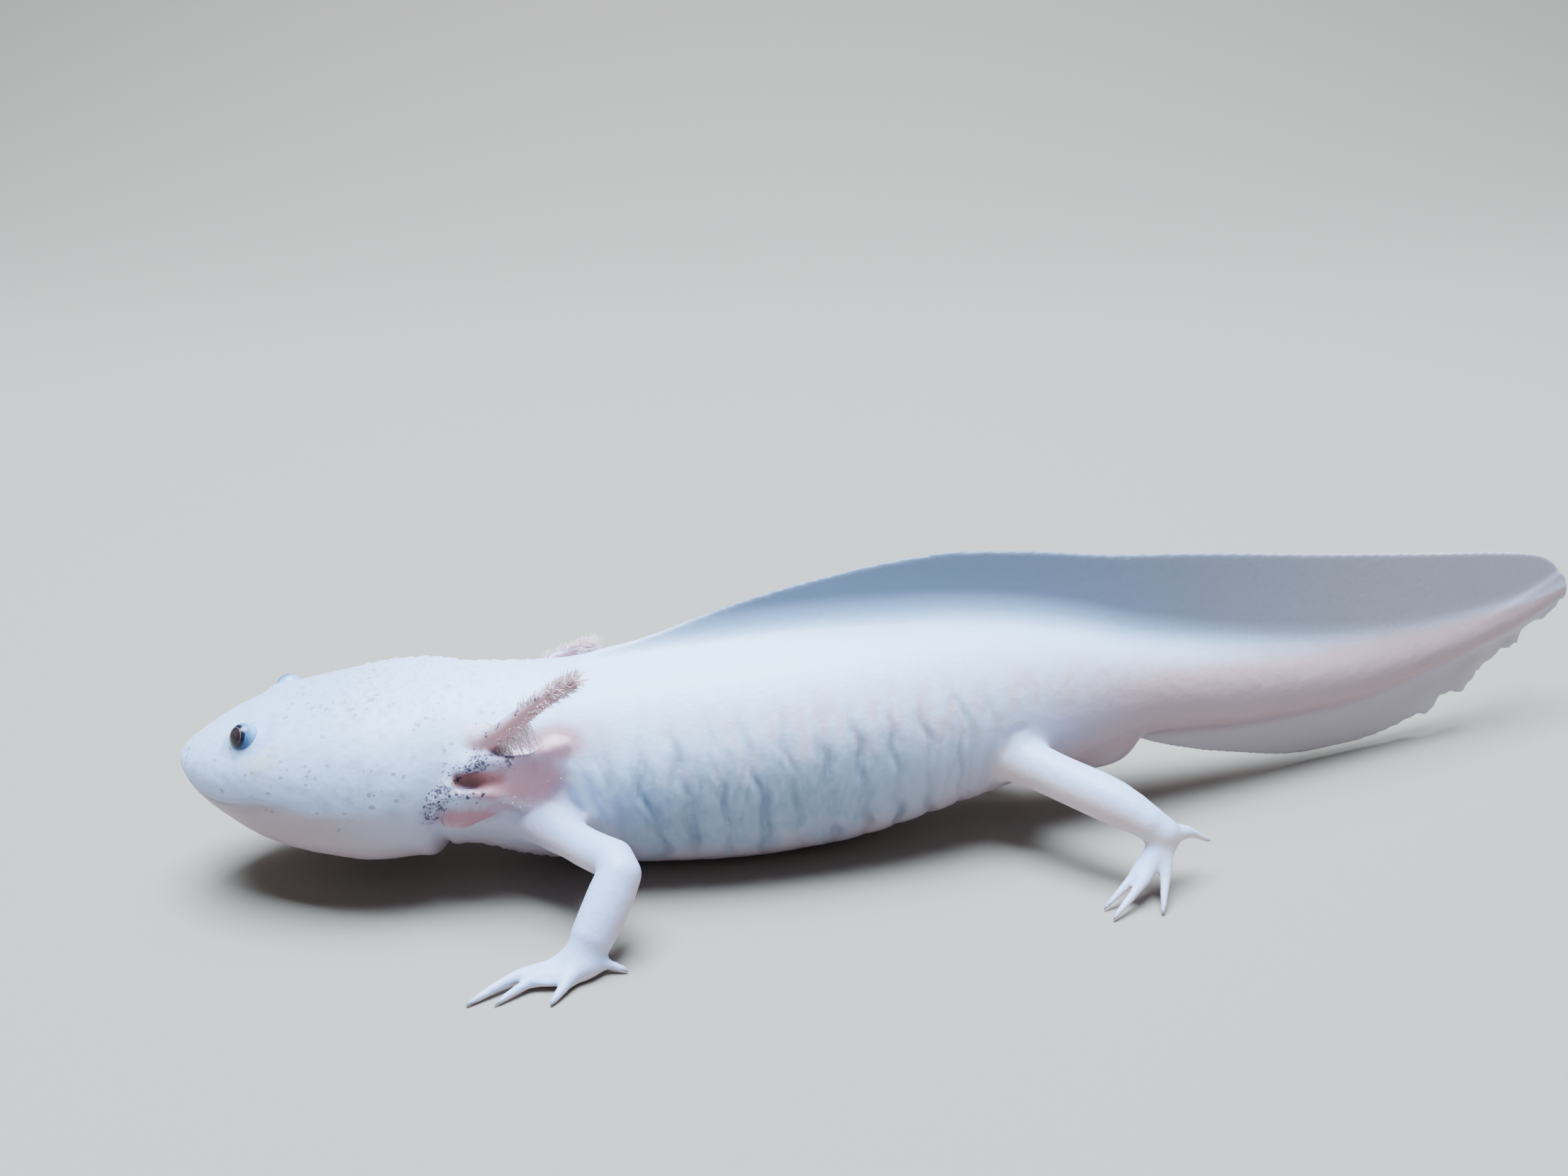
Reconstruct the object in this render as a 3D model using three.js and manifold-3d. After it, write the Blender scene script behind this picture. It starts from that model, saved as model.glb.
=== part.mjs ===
// An adult axolotl at rest: belly and feet on the ground, head level, tail swung gently to its right.
// Units are millimetres and +Z is up.
// Every body form is first laid out straight, in body coordinates:
//   station  distance back from the tip of the snout, measured along the spine
//   side     distance from the spine, positive towards the animal's right
//   height   distance above the ground
// and place() then carries it onto the bent spine.

import * as THREE from 'three';
import { mergeVertices } from 'three/addons/utils/BufferGeometryUtils.js';
import Module from 'manifold-3d';

const wasm = await Module();
wasm.setup();

// ---- Driving dimensions ------------------------------------------------------------------------

const TOTAL_LENGTH = 243;
const GAP = 0.3; // left between neighbouring solids
const NECK_STATION = 36; // the spine is straight as far as here
const SPINE_RADIUS = 414; // and an arc of this radius behind it

const JAW_END = 40; // the fold of the throat, where the head ends
const SHOULDER_STATION = 53;
const WAIST_STATION = 94;
const PELVIS_STATION = 128;
const TAIL_STATION = 151;
const TAIL_MIDDLE = 180;
const TAIL_END = 211;

const EYE_RADIUS = 2.15;
const EYE_PLACE = { station: 13.9, side: 10.6, height: 26.5 };

const MOUTH_HEIGHT = 16.9;
const MOUTH_CORNER = 22;

const FIN_START = 60; // the back fin rises out of the skin here
const FIN_EDGE = 0.7; // thickness at the free edge
const FIN_ROOT = 3.4; // thickness where it leaves the back
const FRILL = 1.5; // sideways wave of the lower fin near the tail tip
const FRILL_WAVE = 0.62; // radians of that wave per millimetre

const VENT = { station: 141.6, height: 13.7, radius: 8 }; // the swollen rim of the vent

const FRINGE_START = 0.45; // share of a gill's stalk where its filaments begin
const FRINGE_THICK = 0.9;
const FRINGE_LEAN = 2.4; // how far the filaments' ends lean towards the stalk's tip
const STALK_TIP = 0.45; // radius

const DIGIT_TIP = 0.45; // radius

const RING_SIDES = 24;
const LIMB_SIDES = 9;
const DIGIT_SIDES = 6;

// Key sections of the body: station, half width, top and bottom heights, squareness.
// A squareness of 2 is an ellipse, and a larger one is boxier.
const SECTIONS = [
  { at: 0, half: 1.2, top: 20.4, bottom: 18.8, square: 2.0 }, // tip of the snout
  { at: 1.2, half: 4.2, top: 21.8, bottom: 17.0, square: 2.1 },
  { at: 4, half: 8.4, top: 23.7, bottom: 14.5, square: 2.3 }, // nostrils
  { at: 9, half: 12.8, top: 26.3, bottom: 11.6, square: 2.4 },
  { at: 15, half: 15.6, top: 28.4, bottom: 8.8, square: 2.5 }, // eyes
  { at: 24, half: 18.2, top: 30.4, bottom: 5.7, square: 2.3 },
  { at: 32, half: 19.1, top: 31.9, bottom: 4.3, square: 2.2 }, // cheeks
  { at: 38, half: 18.4, top: 32.3, bottom: 4.5, square: 2.1 },
  { at: 44, half: 15.6, top: 31.8, bottom: 5.4, square: 2.1 }, // neck
  { at: 53, half: 15.2, top: 31.8, bottom: 2.6, square: 2.0 }, // shoulders
  { at: 68, half: 17.0, top: 32.8, bottom: 0.4, square: 2.0 },
  { at: 84, half: 17.8, top: 34.2, bottom: -0.2, square: 2.0 }, // the belly, flattened by the ground
  { at: 98, half: 17.2, top: 34.8, bottom: 0.6, square: 2.0 },
  { at: 115, half: 15.0, top: 34.4, bottom: 3.8, square: 2.0 },
  { at: 128, half: 12.6, top: 33.0, bottom: 6.8, square: 2.0 }, // hips
  { at: 140, half: 10.4, top: 30.4, bottom: 9.4, square: 2.0 },
  { at: 151, half: 8.4, top: 27.2, bottom: 11.4, square: 2.0 }, // root of the tail
  { at: 170, half: 6.2, top: 23.4, bottom: 10.0, square: 2.0 },
  { at: 190, half: 4.4, top: 20.6, bottom: 9.6, square: 2.0 },
  { at: 212, half: 2.8, top: 19.6, bottom: 12.6, square: 2.0 },
  { at: 230, half: 1.5, top: 20.2, bottom: 16.4, square: 2.0 },
  { at: 243, half: 0.5, top: 21.6, bottom: 20.4, square: 2.0 }, // tip of the tail
];

// Heights of the fins' free edges.
const UPPER_EDGE = [
  [56, 29], [64, 33.4], [70, 35.0], [79, 38.0], [88, 40.7], [98, 42.9], [108, 44.5], [118, 45.2],
  [130, 44.3], [146, 42.0], [160, 40.6], [182, 37.6], [206, 34.2], [226, 31.0], [236, 28.4],
  [241, 25.0], [243, 21.6],
];
const LOWER_EDGE = [
  [147, 13], [151, 10.0], [158, 7.2], [169, 4.2], [185, 1.4], [195, 1.4], [204, 2.2], [213, 4.0],
  [222, 7.4], [231, 12.0], [238, 16.4], [243, 20.4],
];

const SKIN = new THREE.Color(0.86, 0.86, 0.90);
const FIN = new THREE.Color(0.60, 0.64, 0.71);
const GILL = new THREE.Color(0.80, 0.56, 0.58);
const EYE = new THREE.Color(0.05, 0.05, 0.07);

// ---- Curves and sections -----------------------------------------------------------------------

// A smooth curve through keys in order of x. It never swings past a key: a peak or a dip is flat.
function smoothKeys(keys) {
  const n = keys.length;
  const slopes = keys.slice(1).map((key, i) => (key[1] - keys[i][1]) / (key[0] - keys[i][0]));
  const tangents = keys.map((key, i) => {
    const before = slopes[Math.max(i - 1, 0)];
    const after = slopes[Math.min(i, n - 2)];
    return before * after <= 0 ? 0 : 2 * before * after / (before + after);
  });
  return (x) => {
    const clamped = Math.min(Math.max(x, keys[0][0]), keys[n - 1][0]);
    let i = 0;
    while (i < n - 2 && clamped > keys[i + 1][0]) i += 1;
    const width = keys[i + 1][0] - keys[i][0];
    const t = (clamped - keys[i][0]) / width;
    return THREE.MathUtils.lerp(keys[i][1], keys[i + 1][1], t * t * (3 - 2 * t))
      + t * (1 - t) * width * (tangents[i] * (1 - t) - tangents[i + 1] * t);
  };
}

const halfWidth = smoothKeys(SECTIONS.map((s) => [s.at, s.half]));
const topHeight = smoothKeys(SECTIONS.map((s) => [s.at, s.top]));
const bottomHeight = smoothKeys(SECTIONS.map((s) => [s.at, s.bottom]));
const squareness = smoothKeys(SECTIONS.map((s) => [s.at, s.square]));
const upperEdge = smoothKeys(UPPER_EDGE);
const lowerEdge = smoothKeys(LOWER_EDGE);

// Body coordinates to the bent spine.
function place(station, side, height) {
  if (station <= NECK_STATION) return new THREE.Vector3(station, side, height);
  const turn = (station - NECK_STATION) / SPINE_RADIUS;
  const reach = SPINE_RADIUS - side;
  const x = NECK_STATION + reach * Math.sin(turn);
  const y = SPINE_RADIUS - reach * Math.cos(turn);
  return new THREE.Vector3(x, y, height);
}

// A point of the body's surface, or inside it where reach is under 1.
function bodyPoint(station, angle, reach, grown) {
  const power = 2 / squareness(station);
  const across = Math.cos(angle);
  const up = Math.sin(angle);
  const middle = (topHeight(station) + bottomHeight(station)) / 2;
  const tall = (topHeight(station) - bottomHeight(station)) / 2 + grown;
  const wide = halfWidth(station) + grown;
  const side = Math.sign(across) * Math.abs(across) ** power * wide * reach;
  const height = middle + Math.sign(up) * Math.abs(up) ** power * tall * reach;
  return [station, side, height];
}

// ---- Solids ------------------------------------------------------------------------------------

// Moves every vertex of a closed three.js geometry by a rule and joins doubled vertices.
function reshape(geometry, rule) {
  geometry.deleteAttribute('normal');
  geometry.deleteAttribute('uv');
  const position = geometry.attributes.position;
  for (let i = 0; i < position.count; i += 1) {
    const moved = rule(position.getX(i), position.getY(i), position.getZ(i));
    position.setXYZ(i, moved.x, moved.y, moved.z);
  }
  return mergeVertices(geometry, 1e-4);
}

function solid(geometry) {
  const vertProperties = Float32Array.from(geometry.attributes.position.array);
  const triVerts = Uint32Array.from(geometry.index.array);
  const made = new wasm.Manifold(new wasm.Mesh({ numProp: 3, vertProperties, triVerts }));
  if (made.volume() > 0) return made;
  for (let i = 0; i < triVerts.length; i += 3) {
    const kept = triVerts[i];
    triVerts[i] = triVerts[i + 1];
    triVerts[i + 1] = kept;
  }
  return new wasm.Manifold(new wasm.Mesh({ numProp: 3, vertProperties, triVerts }));
}

// A length of the body between two stations. The ends are flat, and spread packs more rings forward.
function bodyLength(from, to, rings, { grown = 0, spread = 1 } = {}) {
  const tube = new THREE.CylinderGeometry(1, 1, 1, RING_SIDES, rings);
  return solid(reshape(tube, (x, y, z) => {
    const station = from + (to - from) * (y + 0.5) ** spread;
    const reach = Math.min(Math.hypot(x, z), 1);
    return place(...bodyPoint(station, Math.atan2(z, x), reach, grown));
  }));
}

// A fin: a plate from a root hidden in the body out to its free edge, thin at that edge.
function finPlate(from, to, steps, rootOf, edgeOf, frill = () => 0) {
  const rows = 3;
  const plate = new THREE.BoxGeometry(1, 1, 1, steps, rows, 1);
  return solid(reshape(plate, (x, y, z) => {
    const station = from + (to - from) * (x + 0.5);
    const out = y + 0.5;
    const root = Math.max(FIN_ROOT * Math.min((TOTAL_LENGTH + 3 - station) / 60, 1), FIN_EDGE);
    const thick = THREE.MathUtils.lerp(root, FIN_EDGE, out ** 0.7);
    const height = THREE.MathUtils.lerp(rootOf(station), edgeOf(station), out);
    return place(station, z * thick + frill(station) * out * out, height);
  }));
}

// A round tube along a smooth curve through points, from one share of its length to another.
function limbLength(points, radii, from, to, steps, sides = LIMB_SIDES) {
  const curve = new THREE.CatmullRomCurve3(points);
  const radiusAt = smoothKeys(radii);
  const tube = new THREE.CylinderGeometry(1, 1, 1, sides, steps);
  return solid(reshape(tube, (x, y, z) => {
    const share = THREE.MathUtils.lerp(from, to, y + 0.5);
    const centre = curve.getPointAt(share);
    const along = curve.getTangentAt(share);
    const across = new THREE.Vector3().crossVectors(along, new THREE.Vector3(0, 0, 1)).normalize();
    const up = new THREE.Vector3().crossVectors(across, along);
    const radius = radiusAt(share);
    return centre.addScaledVector(across, x * radius).addScaledVector(up, z * radius);
  }));
}

// An ellipsoid of about detail faces round and 0.7 of that from pole to pole.
function ball(centre, radius, detail, stretch = [1, 1, 1]) {
  const sphere = new THREE.SphereGeometry(radius, detail, Math.round(detail * 0.7));
  return solid(reshape(sphere, (x, y, z) => {
    return new THREE.Vector3(x * stretch[0], y * stretch[1], z * stretch[2]).add(centre);
  }));
}

function box(low, high) {
  const block = new THREE.BoxGeometry(high.x - low.x, high.y - low.y, high.z - low.z);
  const centre = low.clone().add(high).multiplyScalar(0.5);
  return solid(reshape(block, (x, y, z) => new THREE.Vector3(x, y, z).add(centre)));
}

// What lies under the ground, cut off everything that rests on it.
const ground = box(new THREE.Vector3(-60, -120, -30), new THREE.Vector3(320, 160, 0));
// The body with a clear gap round it, cut out of whatever is rooted in it.
const wholeBody = bodyLength(0.1, TOTAL_LENGTH - 0.1, 54, { grown: GAP, spread: 1.3 });

// ---- The model ---------------------------------------------------------------------------------

const axolotl = new THREE.Group();

function add(name, form, colour, roughness = 0.45) {
  const { vertProperties, triVerts } = form.getMesh();
  const geometry = new THREE.BufferGeometry();
  geometry.setAttribute('position', new THREE.BufferAttribute(vertProperties, 3));
  geometry.setIndex(new THREE.BufferAttribute(triVerts, 1));
  const material = new THREE.MeshStandardMaterial({ color: colour, roughness, metalness: 0 });
  const mesh = new THREE.Mesh(geometry, material);
  mesh.name = name;
  axolotl.add(mesh);
}

// The head is one form, parted along the mouth and up to the fold of the throat.
function headAndJaw() {
  const whole = bodyLength(0.1, JAW_END, 13, { spread: 1.5 });
  const wide = 40; // past both cheeks
  const throat = new THREE.Shape();
  throat.moveTo(-5, -10);
  throat.lineTo(-5, MOUTH_HEIGHT);
  throat.lineTo(MOUTH_CORNER, MOUTH_HEIGHT - 0.8);
  throat.lineTo(JAW_END + 5, 2);
  throat.lineTo(JAW_END + 5, -10);
  const below = (lift) => {
    const wedge = new THREE.ExtrudeGeometry(throat, { depth: 2 * wide, bevelEnabled: false });
    return solid(reshape(wedge, (x, y, z) => new THREE.Vector3(x, z - wide, y + lift)));
  };
  let upper = whole.subtract(below(GAP));
  for (const side of [-1, 1]) {
    const centre = place(EYE_PLACE.station, side * EYE_PLACE.side, EYE_PLACE.height);
    upper = upper.subtract(ball(centre, EYE_RADIUS + GAP, 10));
  }
  add('head', upper, SKIN);
  add('lower_jaw', whole.intersect(below(0)), SKIN);
}

function eyes() {
  for (const [name, side] of [['left', -1], ['right', 1]]) {
    const centre = place(EYE_PLACE.station, side * EYE_PLACE.side, EYE_PLACE.height);
    add(`eye_${name}`, ball(centre, EYE_RADIUS, 12), EYE, 0.1);
  }
}

// Neck, trunk and tail are lengths of one form with thin cuts between them.
function neckTrunkAndTail() {
  const lengths = [
    ['neck', JAW_END, SHOULDER_STATION, 5],
    ['trunk_front', SHOULDER_STATION, WAIST_STATION, 7],
    ['trunk_rear', WAIST_STATION, PELVIS_STATION, 6],
    ['pelvis', PELVIS_STATION, TAIL_STATION, 4],
    ['tail_root', TAIL_STATION, TAIL_MIDDLE, 4],
    ['tail_middle', TAIL_MIDDLE, TAIL_END, 4],
    ['tail_end', TAIL_END, TOTAL_LENGTH, 4],
  ];
  for (const [name, from, to, rings] of lengths) {
    let form = bodyLength(from + GAP / 2, to - GAP / 2, rings);
    if (name === 'pelvis') form = form.add(vent());
    add(name, form.subtract(ground), SKIN);
  }
}

// The swollen rim of the vent, an oval under the pelvis.
function vent() {
  return ball(place(VENT.station, 0, VENT.height), VENT.radius, 12, [1.1, 0.75, 0.95]);
}

function fins() {
  const middle = (station) => (topHeight(station) + bottomHeight(station)) / 2;
  const cut = (form) => form.subtract(wholeBody).subtract(ground);
  const frill = (station) => {
    const growing = THREE.MathUtils.smoothstep(station, 196, 222);
    return FRILL * growing * Math.sin(station * FRILL_WAVE);
  };
  const [from, to] = [TAIL_STATION + GAP / 2, TOTAL_LENGTH - 1];
  const back = finPlate(FIN_START, TAIL_STATION - GAP / 2, 14, middle, upperEdge);
  const upper = finPlate(from, to, 14, middle, upperEdge);
  const lower = finPlate(from, to, 19, middle, lowerEdge, frill);
  add('back_fin', cut(back), FIN);
  add('tail_fin_upper', cut(upper), FIN);
  add('tail_fin_lower', cut(lower.subtract(vent())), FIN);
}

// ---- Gills ---------------------------------------------------------------------------------------

// Each gill is a tapering stalk with a fringe of fine filaments, here one thin leaf-shaped plate.
// droop is the direction in which the fringe hangs, and above and below are its widths.
// The gills on the left are held up, and those on the right sink and splay at their tips.
const GILLS = [
  {
    name: 'upper', points: [[43, 7, 22], [50, 15.6, 27.4], [57, 18, 33.6], [63.4, 20, 37.6]],
    sink: 9, splay: -0.6, droop: [0.55, 0.3, -0.8], above: 2.2, below: 2.6, radius: 1.7,
  },
  {
    name: 'middle', points: [[42, 8, 20], [47.6, 16, 23.2], [53, 19.4, 25.6], [59.4, 21.6, 27.2]],
    sink: 4.5, splay: 3, droop: [0.25, 0.1, -0.95], above: 1.0, below: 6.6, radius: 1.9,
  },
  {
    name: 'lower', points: [[38.5, 10, 15], [43, 16.8, 17.2], [46.6, 19.6, 19.2], [51, 21, 20.4]],
    sink: 3.5, splay: 5, droop: [0.2, 0.1, -0.97], above: 0.9, below: 3.4, radius: 1.8,
  },
];

function gillForm(gill, side) {
  const relaxed = side < 0 ? 0 : 1;
  const points = gill.points.map(([station, out, height], i) => {
    const share = relaxed * i / (gill.points.length - 1);
    return place(station, side * (out + gill.splay * share), height - gill.sink * share);
  });
  const radii = [[0, gill.radius], [0.5, gill.radius * 0.8], [1, STALK_TIP]];
  const stalk = limbLength(points, radii, 0, 1, 5, 7);
  const curve = new THREE.CatmullRomCurve3(points);
  const droop = new THREE.Vector3(gill.droop[0], side * gill.droop[1], gill.droop[2]).normalize();
  const plate = new THREE.BoxGeometry(1, 1, 1, 6, 2, 1);
  const fringe = solid(reshape(plate, (x, y, z) => {
    const share = THREE.MathUtils.lerp(FRINGE_START, 1, x + 0.5);
    const along = curve.getTangentAt(share);
    const hang = droop.clone().addScaledVector(along, -droop.dot(along)).normalize();
    const flat = new THREE.Vector3().crossVectors(along, hang);
    const leaf = Math.sqrt(Math.sin(Math.PI * (0.08 + 0.8 * (x + 0.5))));
    const width = 2 * y * leaf * (y > 0 ? gill.below : gill.above);
    return curve.getPointAt(share)
      .addScaledVector(hang, width)
      .addScaledVector(along, Math.abs(y) * FRINGE_LEAN)
      .addScaledVector(flat, z * FRINGE_THICK);
  }));
  return stalk.add(fringe).subtract(wholeBody);
}

function gills() {
  for (const gill of GILLS) {
    for (const [name, side] of [['left', -1], ['right', 1]]) {
      add(`gill_${gill.name}_${name}`, gillForm(gill, side), GILL);
    }
  }
}

// ---- Legs ----------------------------------------------------------------------------------------

// A leg runs from inside the body to the wrist or ankle. joint is the elbow's or knee's share of it.
// Digits start at the palm or sole and are listed from the front one backwards.
const FRONT_LEG = {
  parts: ['upper_arm', 'forearm', 'hand'],
  points: [
    [50, 6, 15], [57, 16, 13.2], [62.4, 22.4, 12.3], [66.6, 28, 12.2],
    [65, 31, 8.4], [62.8, 33.6, 4.6], [62.2, 34.2, 2.6],
  ],
  radii: [[0, 4.6], [0.3, 3.4], [0.45, 2.75], [0.66, 2.9], [0.8, 3.2], [0.92, 2.9], [1, 2.3]],
  joint: 0.62,
  palm: { at: [61.4, 34.9, 1.5], stretch: [1.1, 0.95, 0.55], radius: 3.1 },
  digits: [
    { tip: [48.0, 41.6, 0.2], knuckle: [54.0, 35.6, 1.5], radius: 0.95 },
    { tip: [51.6, 41.9, 0.2], knuckle: [55.4, 38.0, 1.3], radius: 0.9 },
    { tip: [58.0, 42.7, 0.2], knuckle: [60, 38.9, 1.3], radius: 0.95 },
    { tip: [67.4, 35.6, 0.2], knuckle: [64.4, 34.9, 1.5], radius: 0.9 },
  ],
};

const HIND_LEG = {
  parts: ['thigh', 'shank', 'foot'],
  points: [
    [119, 3, 17], [125, 11, 15.2], [130.2, 18, 13.6],
    [134.4, 24, 12.4], [138, 28.4, 10.6], [139.6, 29.6, 9.2],
  ],
  radii: [[0, 5.2], [0.3, 3.9], [0.5, 3.3], [0.72, 3.5], [0.9, 3.2], [1, 2.4]],
  joint: 0.62,
  palm: { at: [139.8, 29.6, 9.4], stretch: [1, 0.8, 0.9], radius: 2.9 },
  digits: [
    { tip: [130.0, 34.0, 0.1], knuckle: [135.2, 32.2, 3.6], radius: 0.95 },
    { tip: [129.8, 37.2, 0.1], knuckle: [136.0, 33.4, 3.4], radius: 1.0 },
    { tip: [136.7, 37.6, 0.1], knuckle: [139.4, 32.8, 4.2], radius: 1.0 },
    { tip: [148.8, 27.6, 4.9], knuckle: [144.4, 28.8, 8.2], radius: 1.05 },
    { tip: [146.0, 25.4, 7.6], knuckle: [142.8, 27.2, 9.2], radius: 0.95 },
  ],
};

// The palm or sole and its digits, in one form.
function handOrFoot(leg, at) {
  let form = ball(at(leg.palm.at), leg.palm.radius, 8, leg.palm.stretch);
  for (const { tip, knuckle, radius } of leg.digits) {
    const path = [leg.palm.at, knuckle, tip].map(at);
    const radii = [[0, radius * 1.35], [0.5, radius], [0.85, radius * 0.75], [1, DIGIT_TIP]];
    form = form.add(limbLength(path, radii, 0, 1, 3, DIGIT_SIDES));
  }
  return form;
}

function legs() {
  for (const leg of [FRONT_LEG, HIND_LEG]) {
    for (const [name, side] of [['left', -1], ['right', 1]]) {
      const at = ([station, out, height]) => place(station, side * out, height);
      const points = leg.points.map(at);
      const half = GAP / 2 / new THREE.CatmullRomCurve3(points).getLength();
      const grown = leg.radii.map(([share, radius]) => [share, radius + GAP]);
      const upper = limbLength(points, leg.radii, 0, leg.joint - half, 6);
      const lower = limbLength(points, leg.radii, leg.joint + half, 1 - 2 * half, 6);
      const lowerGrown = limbLength(points, grown, leg.joint, 1, 6);
      const [first, second, third] = leg.parts;
      add(`${first}_${name}`, upper.subtract(wholeBody), SKIN);
      add(`${second}_${name}`, lower.subtract(ground), SKIN);
      add(`${third}_${name}`, handOrFoot(leg, at).subtract(lowerGrown).subtract(ground), SKIN);
    }
  }
}

headAndJaw();
eyes();
neckTrunkAndTail();
fins();
gills();
legs();

// The origin is under the middle of the whole animal, on the ground.
const bounds = new THREE.Box3().setFromObject(axolotl);
const centre = bounds.getCenter(new THREE.Vector3());
axolotl.position.set(-centre.x, -centre.y, -bounds.min.z);

export default axolotl;
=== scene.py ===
# %% [markdown]
# # A life-size axolotl, looks
# The animal lies still on its belly and feet. Its flesh is one skin, worked like clay: plain soft forms
# are joined where flesh runs together, folds are pressed in, and the whole is skinned once.
# Sizes inside this script are millimetres until a piece is made; pieces are in metres.

# %% Start
import math
import bpy
import numpy as np
import openvdb
from mathutils import Matrix, Quaternion, Vector, noise


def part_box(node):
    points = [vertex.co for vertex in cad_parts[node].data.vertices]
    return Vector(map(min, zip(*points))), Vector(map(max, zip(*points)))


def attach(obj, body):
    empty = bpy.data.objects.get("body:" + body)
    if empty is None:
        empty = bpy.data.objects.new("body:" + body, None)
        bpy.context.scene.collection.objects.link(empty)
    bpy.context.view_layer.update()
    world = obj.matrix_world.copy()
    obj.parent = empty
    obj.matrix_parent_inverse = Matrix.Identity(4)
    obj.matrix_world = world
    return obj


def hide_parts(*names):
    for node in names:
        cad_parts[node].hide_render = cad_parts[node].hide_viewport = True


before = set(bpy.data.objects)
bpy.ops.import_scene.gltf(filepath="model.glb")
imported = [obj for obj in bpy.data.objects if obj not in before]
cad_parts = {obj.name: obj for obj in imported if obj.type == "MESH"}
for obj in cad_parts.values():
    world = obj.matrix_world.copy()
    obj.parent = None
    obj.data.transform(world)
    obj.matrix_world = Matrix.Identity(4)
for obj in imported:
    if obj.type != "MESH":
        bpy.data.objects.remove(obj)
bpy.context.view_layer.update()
scene = bpy.context.scene

# %% [markdown]
# ## Sizes
# The animal is laid out straight, in body coordinates: station back from the snout, side (positive is
# its right) and height over the ground. bend() carries that onto the curved spine. The sections are
# the ones that the solids were made from. The fins' edges are too, but a little fuller at the tip.

# %% Sizes
MM = 0.001
TOTAL_LENGTH = 243
NECK_STATION = 36      # the spine is straight as far as here
SPINE_RADIUS = 414     # and an arc of this radius behind it
EYE_RADIUS = 2.15
EYE_PLACE = (13.9, 10.6, 26.5)
CLAY_STEP = 0.37

# station, half width, top height, bottom height, squareness (2 is an ellipse)
SECTIONS = [
    (0, 1.2, 20.4, 18.8, 2.0), (1.2, 4.2, 21.8, 17.0, 2.1), (4, 8.4, 23.7, 14.5, 2.3),
    (9, 12.8, 26.3, 11.6, 2.4), (15, 15.6, 28.4, 8.8, 2.5), (24, 18.2, 30.4, 5.7, 2.3),
    (32, 19.1, 31.9, 4.3, 2.2), (38, 18.4, 32.3, 4.5, 2.1), (44, 15.6, 31.8, 5.4, 2.1),
    (53, 15.2, 31.8, 2.6, 2.0), (68, 17.0, 32.8, 0.4, 2.0), (84, 17.8, 34.2, -0.2, 2.0),
    (98, 17.2, 34.8, 0.6, 2.0), (115, 15.0, 34.4, 3.8, 2.0), (128, 12.6, 33.0, 6.8, 2.0),
    (140, 10.4, 30.4, 9.4, 2.0), (151, 8.4, 27.2, 11.4, 2.0), (170, 6.2, 23.4, 10.0, 2.0),
    (190, 4.4, 20.6, 9.6, 2.0), (212, 2.8, 19.6, 12.6, 2.0), (230, 1.5, 20.2, 16.4, 2.0),
    (243, 0.5, 21.6, 20.4, 2.0),
]
# station and height of the fins' free edges
UPPER_EDGE = [
    (56, 29), (64, 33.4), (70, 35.0), (79, 38.0), (88, 40.7), (98, 42.9), (108, 44.5), (118, 45.2),
    (130, 44.3), (146, 42.0), (160, 40.6), (182, 37.6), (206, 34.2), (226, 31.2), (236, 29.0),
    (241, 26.4), (243, 23.4),
]
LOWER_EDGE = [
    (147, 13), (151, 10.0), (158, 7.2), (169, 4.2), (185, 1.4), (195, 1.4), (204, 2.2), (213, 4.0),
    (222, 7.4), (231, 12.0), (238, 15.9), (243, 19.2),
]
print("length along the spine, mm:", TOTAL_LENGTH, "- the clay is cut every", CLAY_STEP, "mm")

# %% [markdown]
# ## Soft curves and the bent spine
# A maker draws an outline with a flexible batten held at a few marks, and smooth_keys() is that batten.
# The real spine swings gently to one side. One straight line and one arc give that swing, and
# everything else can then be laid out as if the animal were straight.

# %% Curves and spine
def smooth_keys(keys):
    """A smooth curve through keys in order of x; it never swings past a key."""
    x, y = np.array(keys, float).T
    slope = np.diff(y) / np.diff(x)
    before, after = np.r_[slope[0], slope], np.r_[slope, slope[-1]]
    same = before * after > 0
    tangent = np.where(same, 2 * before * after / np.where(same, before + after, 1), 0)

    def value(at):
        at = np.clip(at, x[0], x[-1])
        i = np.clip(np.searchsorted(x, at) - 1, 0, len(x) - 2)
        width = x[i + 1] - x[i]
        t = (at - x[i]) / width
        rise = (y[i + 1] - y[i]) * t * t * (3 - 2 * t)
        return y[i] + rise + t * (1 - t) * width * (tangent[i] * (1 - t) - tangent[i + 1] * t)

    return value


half_width, top_height, bottom_height, squareness = (
    smooth_keys([(row[0], row[column]) for row in SECTIONS]) for column in (1, 2, 3, 4))
upper_edge = smooth_keys(UPPER_EDGE)
lower_edge = smooth_keys(LOWER_EDGE)


def bend(station, side, height):
    """Body coordinates to the curved spine, still in millimetres."""
    turn = max(station - NECK_STATION, 0) / SPINE_RADIUS
    reach = SPINE_RADIUS - side
    x = min(station, NECK_STATION) + reach * math.sin(turn)
    return np.array([x, SPINE_RADIUS - reach * math.cos(turn), height])


def unbend(x, y):
    """Station and side of points on the curved spine's plan."""
    turn = np.arctan2(np.maximum(x - NECK_STATION, 0), SPINE_RADIUS - y)
    station = np.minimum(x, NECK_STATION) + turn * SPINE_RADIUS
    side = SPINE_RADIUS - np.hypot(np.maximum(x - NECK_STATION, 0), SPINE_RADIUS - y)
    return station, side


# The solids' own eye tells where the drawing's zero lies in the shared frame.
low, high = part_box("eye_left")
eye_in_frame = np.array((low + high) / 2) / MM
ZERO = eye_in_frame - bend(EYE_PLACE[0], -EYE_PLACE[1], EYE_PLACE[2])
print("drawing's zero in the frame, mm:", ZERO.round(3))

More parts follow.
